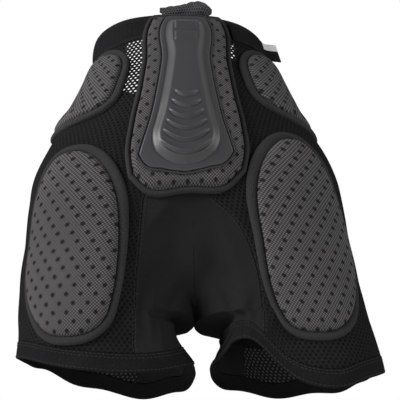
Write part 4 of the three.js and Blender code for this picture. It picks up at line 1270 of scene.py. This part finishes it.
def make_foam(sizes, colours):
    """Spacer mesh over perforated foam: a fine crossed weave with staggered perforations, painted darker in
    the weave's valleys and in the perforations as painted shade in these hollows.
    """
    tree, shader, place, worn = finish("covered_foam", colours.foam, 0.85, amount=0.25)
    hole = use_group(
        tree, "Staggered Dots", Vector=place, Pitch=sizes.perforation_pitch, Row=sizes.perforation_row,
        Radius=sizes.perforation_radius, Softness=0.0009,
    )["Mask"]
    weave = use_group(tree, "Crossed Weave", Vector=place, Pitch=sizes.weave_pitch)["Height"]
    # Painted shade in the weave's valleys between the threads.
    valley = node(tree, "ShaderNodeMapRange", weave, 0.75, 0.4, 0.0, 0.92).outputs[0]
    shade = darken(tree, shader, worn, valley, 0.02)
    # Painted shade in the perforations.
    darken(tree, shader, shade, sums(tree, "MULTIPLY", hole, 0.9), 0.008)
    height = sums(tree, "SUBTRACT", sums(tree, "MULTIPLY", weave, 0.4), hole)
    relief(tree, shader, height, 0.0012)


def make_tape(colours):
    """Binding tape with ribs along its edge, painted darker between the ribs as painted shade in the grooves.
    """
    tree, shader, place, worn = finish("binding_tape", colours.tape, 0.8)
    ribs = use_group(tree, "Woven Ribs", Vector=place, Pitch=0.0022, Cross=0.0016)["Height"]
    # Painted shade in the grooves between the ribs.
    between = sums(tree, "MULTIPLY", sums(tree, "SUBTRACT", 1.0, ribs), 0.4)
    darken(tree, shader, worn, between, 0.01)
    relief(tree, shader, ribs, 0.0005)


def make_moulded(colours):
    """Satin moulding with a fine grain, lighter on its proud ribs and most at their ends, which is partly
    wear and partly painted highlight.
    """
    tree, shader, _, worn = finish("moulded", colours.moulded, 0.46, amount=0.15, specular=0.4)
    proud = node(tree, "ShaderNodeAttribute", attribute_name="relief").outputs["Fac"]
    # Ribs mixed towards a lighter grey: partly wear, partly painted highlight, strongest at the rib ends.
    wear_and_highlight = node(tree, "ShaderNodeMapRange", proud, 0.4, 1.0, 0.0, 0.25).outputs[0]
    tree.links.new(mix(tree, wear_and_highlight, worn, (0.16, 0.16, 0.165, 1)), shader.inputs["Base Color"])
    place = node(tree, "ShaderNodeTexCoord").outputs["Object"]
    grain = node(tree, "ShaderNodeTexNoise", place, None, 2200.0, 3.0).outputs[0]
    relief(tree, shader, grain, 0.0002, 0.6)


def make_ribbed(name, colour, roughness, amount, pitch, cross, depth):
    """Cloth, thread, cord or strip with a fine rib and a finer one across it."""
    tree, shader, place, _ = finish(name, colour, roughness, amount=amount)
    height = use_group(tree, "Woven Ribs", Vector=place, Pitch=pitch, Cross=cross)["Height"]
    relief(tree, shader, height, depth)


def make_materials(sizes, colours):
    """All node groups and materials."""
    make_dots_group()
    make_weave_group()
    make_ribs_group()
    make_wear_group()
    make_net(sizes, colours)
    make_roll_cloth(colours)
    make_foam(sizes, colours)
    make_tape(colours)
    make_moulded(colours)
    make_ribbed("stretch_cloth", colours.stretch, 0.5, 0.2, 0.0009, 0.0014, 0.00015)
    make_ribbed("band_cloth", colours.band, 0.75, 0.25, 0.0016, 0.0024, 0.0003)
    make_ribbed("strap_cloth", colours.band, 0.7, 0.2, 0.0014, 0.00196, 0.0002)
    make_ribbed("thread", colours.thread, 0.6, 0.2, 0.0008, 0.00112, 0.0002)
    make_ribbed("piping_cord", colours.cord, 0.6, 0.2, 0.0018, 0.00252, 0.0002)
    make_ribbed("bare_tab", colours.bare, 0.7, 0.2, 0.0009, 0.00126, 0.0002)


def look(place):
    """Turn of a camera or light at a place that makes it face the view's point."""
    way = np.subtract(VIEW_POINT, place)
    flat = np.hypot(way[0], way[1])
    return (np.arctan2(way[2], flat) + np.pi / 2, 0.0, np.arctan2(way[1], way[0]) - np.pi / 2)


def area_light(name, place, size, power):
    """A soft square light that faces the view's point."""
    light = bpy.data.lights.new(name, "AREA")
    light.shape, light.size, light.energy = "SQUARE", size, power
    lamp = put(name, light)
    lamp.location, lamp.rotation_euler = place, look(place)


def build_stage():
    """The camera at the photograph's view, the floor, the pale surroundings and the lights."""
    turn, tilt = np.radians(VIEW_TURN), np.radians(VIEW_TILT)
    away = np.array([np.sin(turn) * np.cos(tilt), -np.cos(turn) * np.cos(tilt), np.sin(tilt)])
    place = np.array(VIEW_POINT) + VIEW_DISTANCE * away
    data = bpy.data.cameras.new("Camera")
    data.lens, data.sensor_width, data.shift_x = VIEW_LENS, 36.0, VIEW_SHIFT
    camera = put("Camera", data)
    camera.location, camera.rotation_euler = place, look(place)
    bpy.context.scene.camera = camera
    pale = bpy.data.materials.new("pale_floor")
    pale.use_nodes = True
    shader = pale.node_tree.nodes["Principled BSDF"]
    shader.inputs["Base Color"].default_value = (0.8, 0.8, 0.8, 1)
    shader.inputs["Roughness"].default_value = 0.8
    mesh = bpy.data.meshes.new("floor")
    signs = [(-1, -1), (1, -1), (1, 1), (-1, 1)]
    corners = [(FLOOR_REACH * x, FLOOR_REACH * y, FLOOR_HEIGHT) for x, y in signs]
    mesh.from_pydata(corners, [], [(0, 1, 2, 3)])
    mesh.materials.append(pale)
    floor = put("floor", mesh)
    world = bpy.data.worlds.new("pale_surroundings")
    world.use_nodes = True
    tree = world.node_tree
    way = node(tree, "ShaderNodeSeparateXYZ", node(tree, "ShaderNodeTexCoord").outputs["Generated"]).outputs
    power = node(tree, "ShaderNodeMapRange", way[1], -0.2, 0.3, REAR_LIGHT, 1.0).outputs[0]
    tree.nodes["Background"].inputs[0].default_value = (1, 1, 1, 1)
    tree.links.new(power, tree.nodes["Background"].inputs[1])
    bpy.context.scene.world = world
    bpy.context.scene.view_settings.view_transform = "Standard"
    area_light("key", **KEY_LIGHT)
    area_light("side", **SIDE_LIGHT)


def length_property(label, words, default, least):
    """A length that a user can change."""
    return FloatProperty(
        name=label, description=words, default=default, min=least, unit="LENGTH", precision=4
    )


def colour_property(label, words, default):
    """A colour that a user can change."""
    return FloatVectorProperty(name=label, description=words, default=default, subtype="COLOR", min=0, max=1)


class SHORTS_PG_sizes(PropertyGroup):
    """Sizes of the cloth's detail"""

    cloth_thickness: length_property("Cloth Thickness", "Wall of the mesh and stretch cloth", 0.0012, 0.0005)
    hole_pitch: length_property("Hole Pitch", "Distance between the mesh's holes in a row", 0.006, 0.001)
    hole_row: length_property("Hole Row", "Distance between the mesh's rows of holes", 0.00405, 0.001)
    hole_radius: length_property("Hole Radius", "Radius of the mesh's holes", 0.0016, 0.0002)
    perforation_pitch: length_property(
        "Perforation Pitch", "Distance between the foam's perforations in a row", 0.0156, 0.002
    )
    perforation_row: length_property(
        "Perforation Row", "Distance between the foam's rows of perforations", 0.0096, 0.002
    )
    perforation_radius: length_property(
        "Perforation Radius", "Radius of the foam's perforations", 0.0022, 0.0002
    )
    weave_pitch: length_property("Weave Pitch", "Distance between the threads over the foam", 0.0035, 0.001)
    stitch_pitch: length_property("Stitch Pitch", "Distance from stitch to stitch", 0.0045, 0.001)
    stitch_length: length_property("Stitch Length", "Length of one stitch", 0.0033, 0.0005)


class SHORTS_PG_colours(PropertyGroup):
    """Colours of the cloth, pads and plate"""

    net: colour_property("Mesh", "Knitted mesh of the trunk and legs", (0.01, 0.01, 0.0105))
    roll: colour_property("Bunched Cloth", "Speckled cloth at the top of the back", (0.05, 0.05, 0.052))
    stretch: colour_property("Seat Panel", "Smooth stretch cloth", (0.012, 0.012, 0.0125))
    band: colour_property("Bands", "Waistband, hems and strap", (0.0085, 0.0085, 0.009))
    foam: colour_property("Pads", "Mesh over the foam pads", (0.085, 0.081, 0.0824))
    tape: colour_property("Bindings", "Tape round the pads", (0.028, 0.027, 0.028))
    moulded: colour_property("Plate", "Moulded plate", (0.022, 0.022, 0.0235))
    thread: colour_property("Thread", "Stitches", (0.022, 0.022, 0.023))
    cord: colour_property("Piping", "Piping round the plate", (0.03, 0.03, 0.031))
    bare: colour_property("Bare Strip", "Light strip on the strap", (0.42, 0.42, 0.41))


class SHORTS_OT_materials(Operator):
    """Makes the node groups and materials"""

    bl_idname = "shorts.materials"
    bl_label = "Make Materials"

    def execute(self, context):
        make_materials(context.scene.shorts_sizes, context.scene.shorts_colours)
        return {"FINISHED"}


class SHORTS_OT_shell(Operator):
    """Makes the mesh cloth of the trunk and legs"""

    bl_idname = "shorts.shell"
    bl_label = "Make Mesh Cloth"

    def execute(self, context):
        build_shell(context.scene.shorts_sizes)
        return {"FINISHED"}


class SHORTS_OT_gusset(Operator):
    """Makes the stretch panel in the seat"""

    bl_idname = "shorts.gusset"
    bl_label = "Make Seat Panel"

    def execute(self, context):
        build_gusset(context.scene.shorts_sizes)
        return {"FINISHED"}


class SHORTS_OT_bands(Operator):
    """Makes the waistband and the hems"""

    bl_idname = "shorts.bands"
    bl_label = "Make Bands"

    def execute(self, context):
        build_bands(context.scene.shorts_sizes)
        return {"FINISHED"}


class SHORTS_OT_oval_pads(Operator):
    """Makes the hip and thigh pads"""

    bl_idname = "shorts.oval_pads"
    bl_label = "Make Hip and Thigh Pads"

    def execute(self, context):
        build_oval_pads(context.scene.shorts_sizes)
        return {"FINISHED"}


class SHORTS_OT_tailbone(Operator):
    """Makes the tailbone pad"""

    bl_idname = "shorts.tailbone"
    bl_label = "Make Tailbone Pad"

    def execute(self, context):
        build_tailbone(context.scene.shorts_sizes)
        return {"FINISHED"}


class SHORTS_OT_plate(Operator):
    """Makes the moulded plate and its piping"""

    bl_idname = "shorts.plate"
    bl_label = "Make Plate"

    def execute(self, context):
        build_plate()
        return {"FINISHED"}


class SHORTS_OT_roll(Operator):
    """Makes the bunched cloth at the top of the back"""

    bl_idname = "shorts.roll"
    bl_label = "Make Cloth Roll"

    def execute(self, context):
        build_roll()
        return {"FINISHED"}


class SHORTS_OT_strap(Operator):
    """Makes the side strap"""

    bl_idname = "shorts.strap"
    bl_label = "Make Side Strap"

    def execute(self, context):
        build_strap(context.scene.shorts_sizes)
        return {"FINISHED"}


class SHORTS_OT_stage(Operator):
    """Makes the camera, the floor and the lights"""

    bl_idname = "shorts.stage"
    bl_label = "Make Stage"

    def execute(self, context):
        build_stage()
        return {"FINISHED"}


STEPS = (
    SHORTS_OT_stage,
    SHORTS_OT_materials,
    SHORTS_OT_shell,
    SHORTS_OT_gusset,
    SHORTS_OT_bands,
    SHORTS_OT_oval_pads,
    SHORTS_OT_tailbone,
    SHORTS_OT_plate,
    SHORTS_OT_roll,
    SHORTS_OT_strap,
)


class SHORTS_PT_panel(Panel):
    """Lists the steps that build the shorts"""

    bl_idname = "SHORTS_PT_panel"
    bl_label = "Padded Shorts"
    bl_space_type = "VIEW_3D"
    bl_region_type = "UI"
    bl_category = "Shorts"

    def draw(self, context):
        for step in STEPS:
            self.layout.operator(step.bl_idname)
        for group_of in (context.scene.shorts_sizes, context.scene.shorts_colours):
            for name in group_of.__annotations__:
                self.layout.prop(group_of, name)


CLASSES = (SHORTS_PG_sizes, SHORTS_PG_colours, *STEPS, SHORTS_PT_panel)


def register():
    """Registers the classes and the scene's sizes and colours."""
    for cls in CLASSES:
        bpy.utils.register_class(cls)
    bpy.types.Scene.shorts_sizes = PointerProperty(type=SHORTS_PG_sizes)
    bpy.types.Scene.shorts_colours = PointerProperty(type=SHORTS_PG_colours)


def unregister():
    """Takes the classes and the scene's sizes and colours away again."""
    del bpy.types.Scene.shorts_colours
    del bpy.types.Scene.shorts_sizes
    for cls in reversed(CLASSES):
        bpy.utils.unregister_class(cls)


def main():
    """Builds the whole scene."""
    register()
    bpy.ops.shorts.stage()
    bpy.ops.shorts.materials()
    bpy.ops.shorts.shell()
    bpy.ops.shorts.gusset()
    bpy.ops.shorts.bands()
    bpy.ops.shorts.oval_pads()
    bpy.ops.shorts.tailbone()
    bpy.ops.shorts.plate()
    bpy.ops.shorts.roll()
    bpy.ops.shorts.strap()


if __name__ == "__main__":
    main()
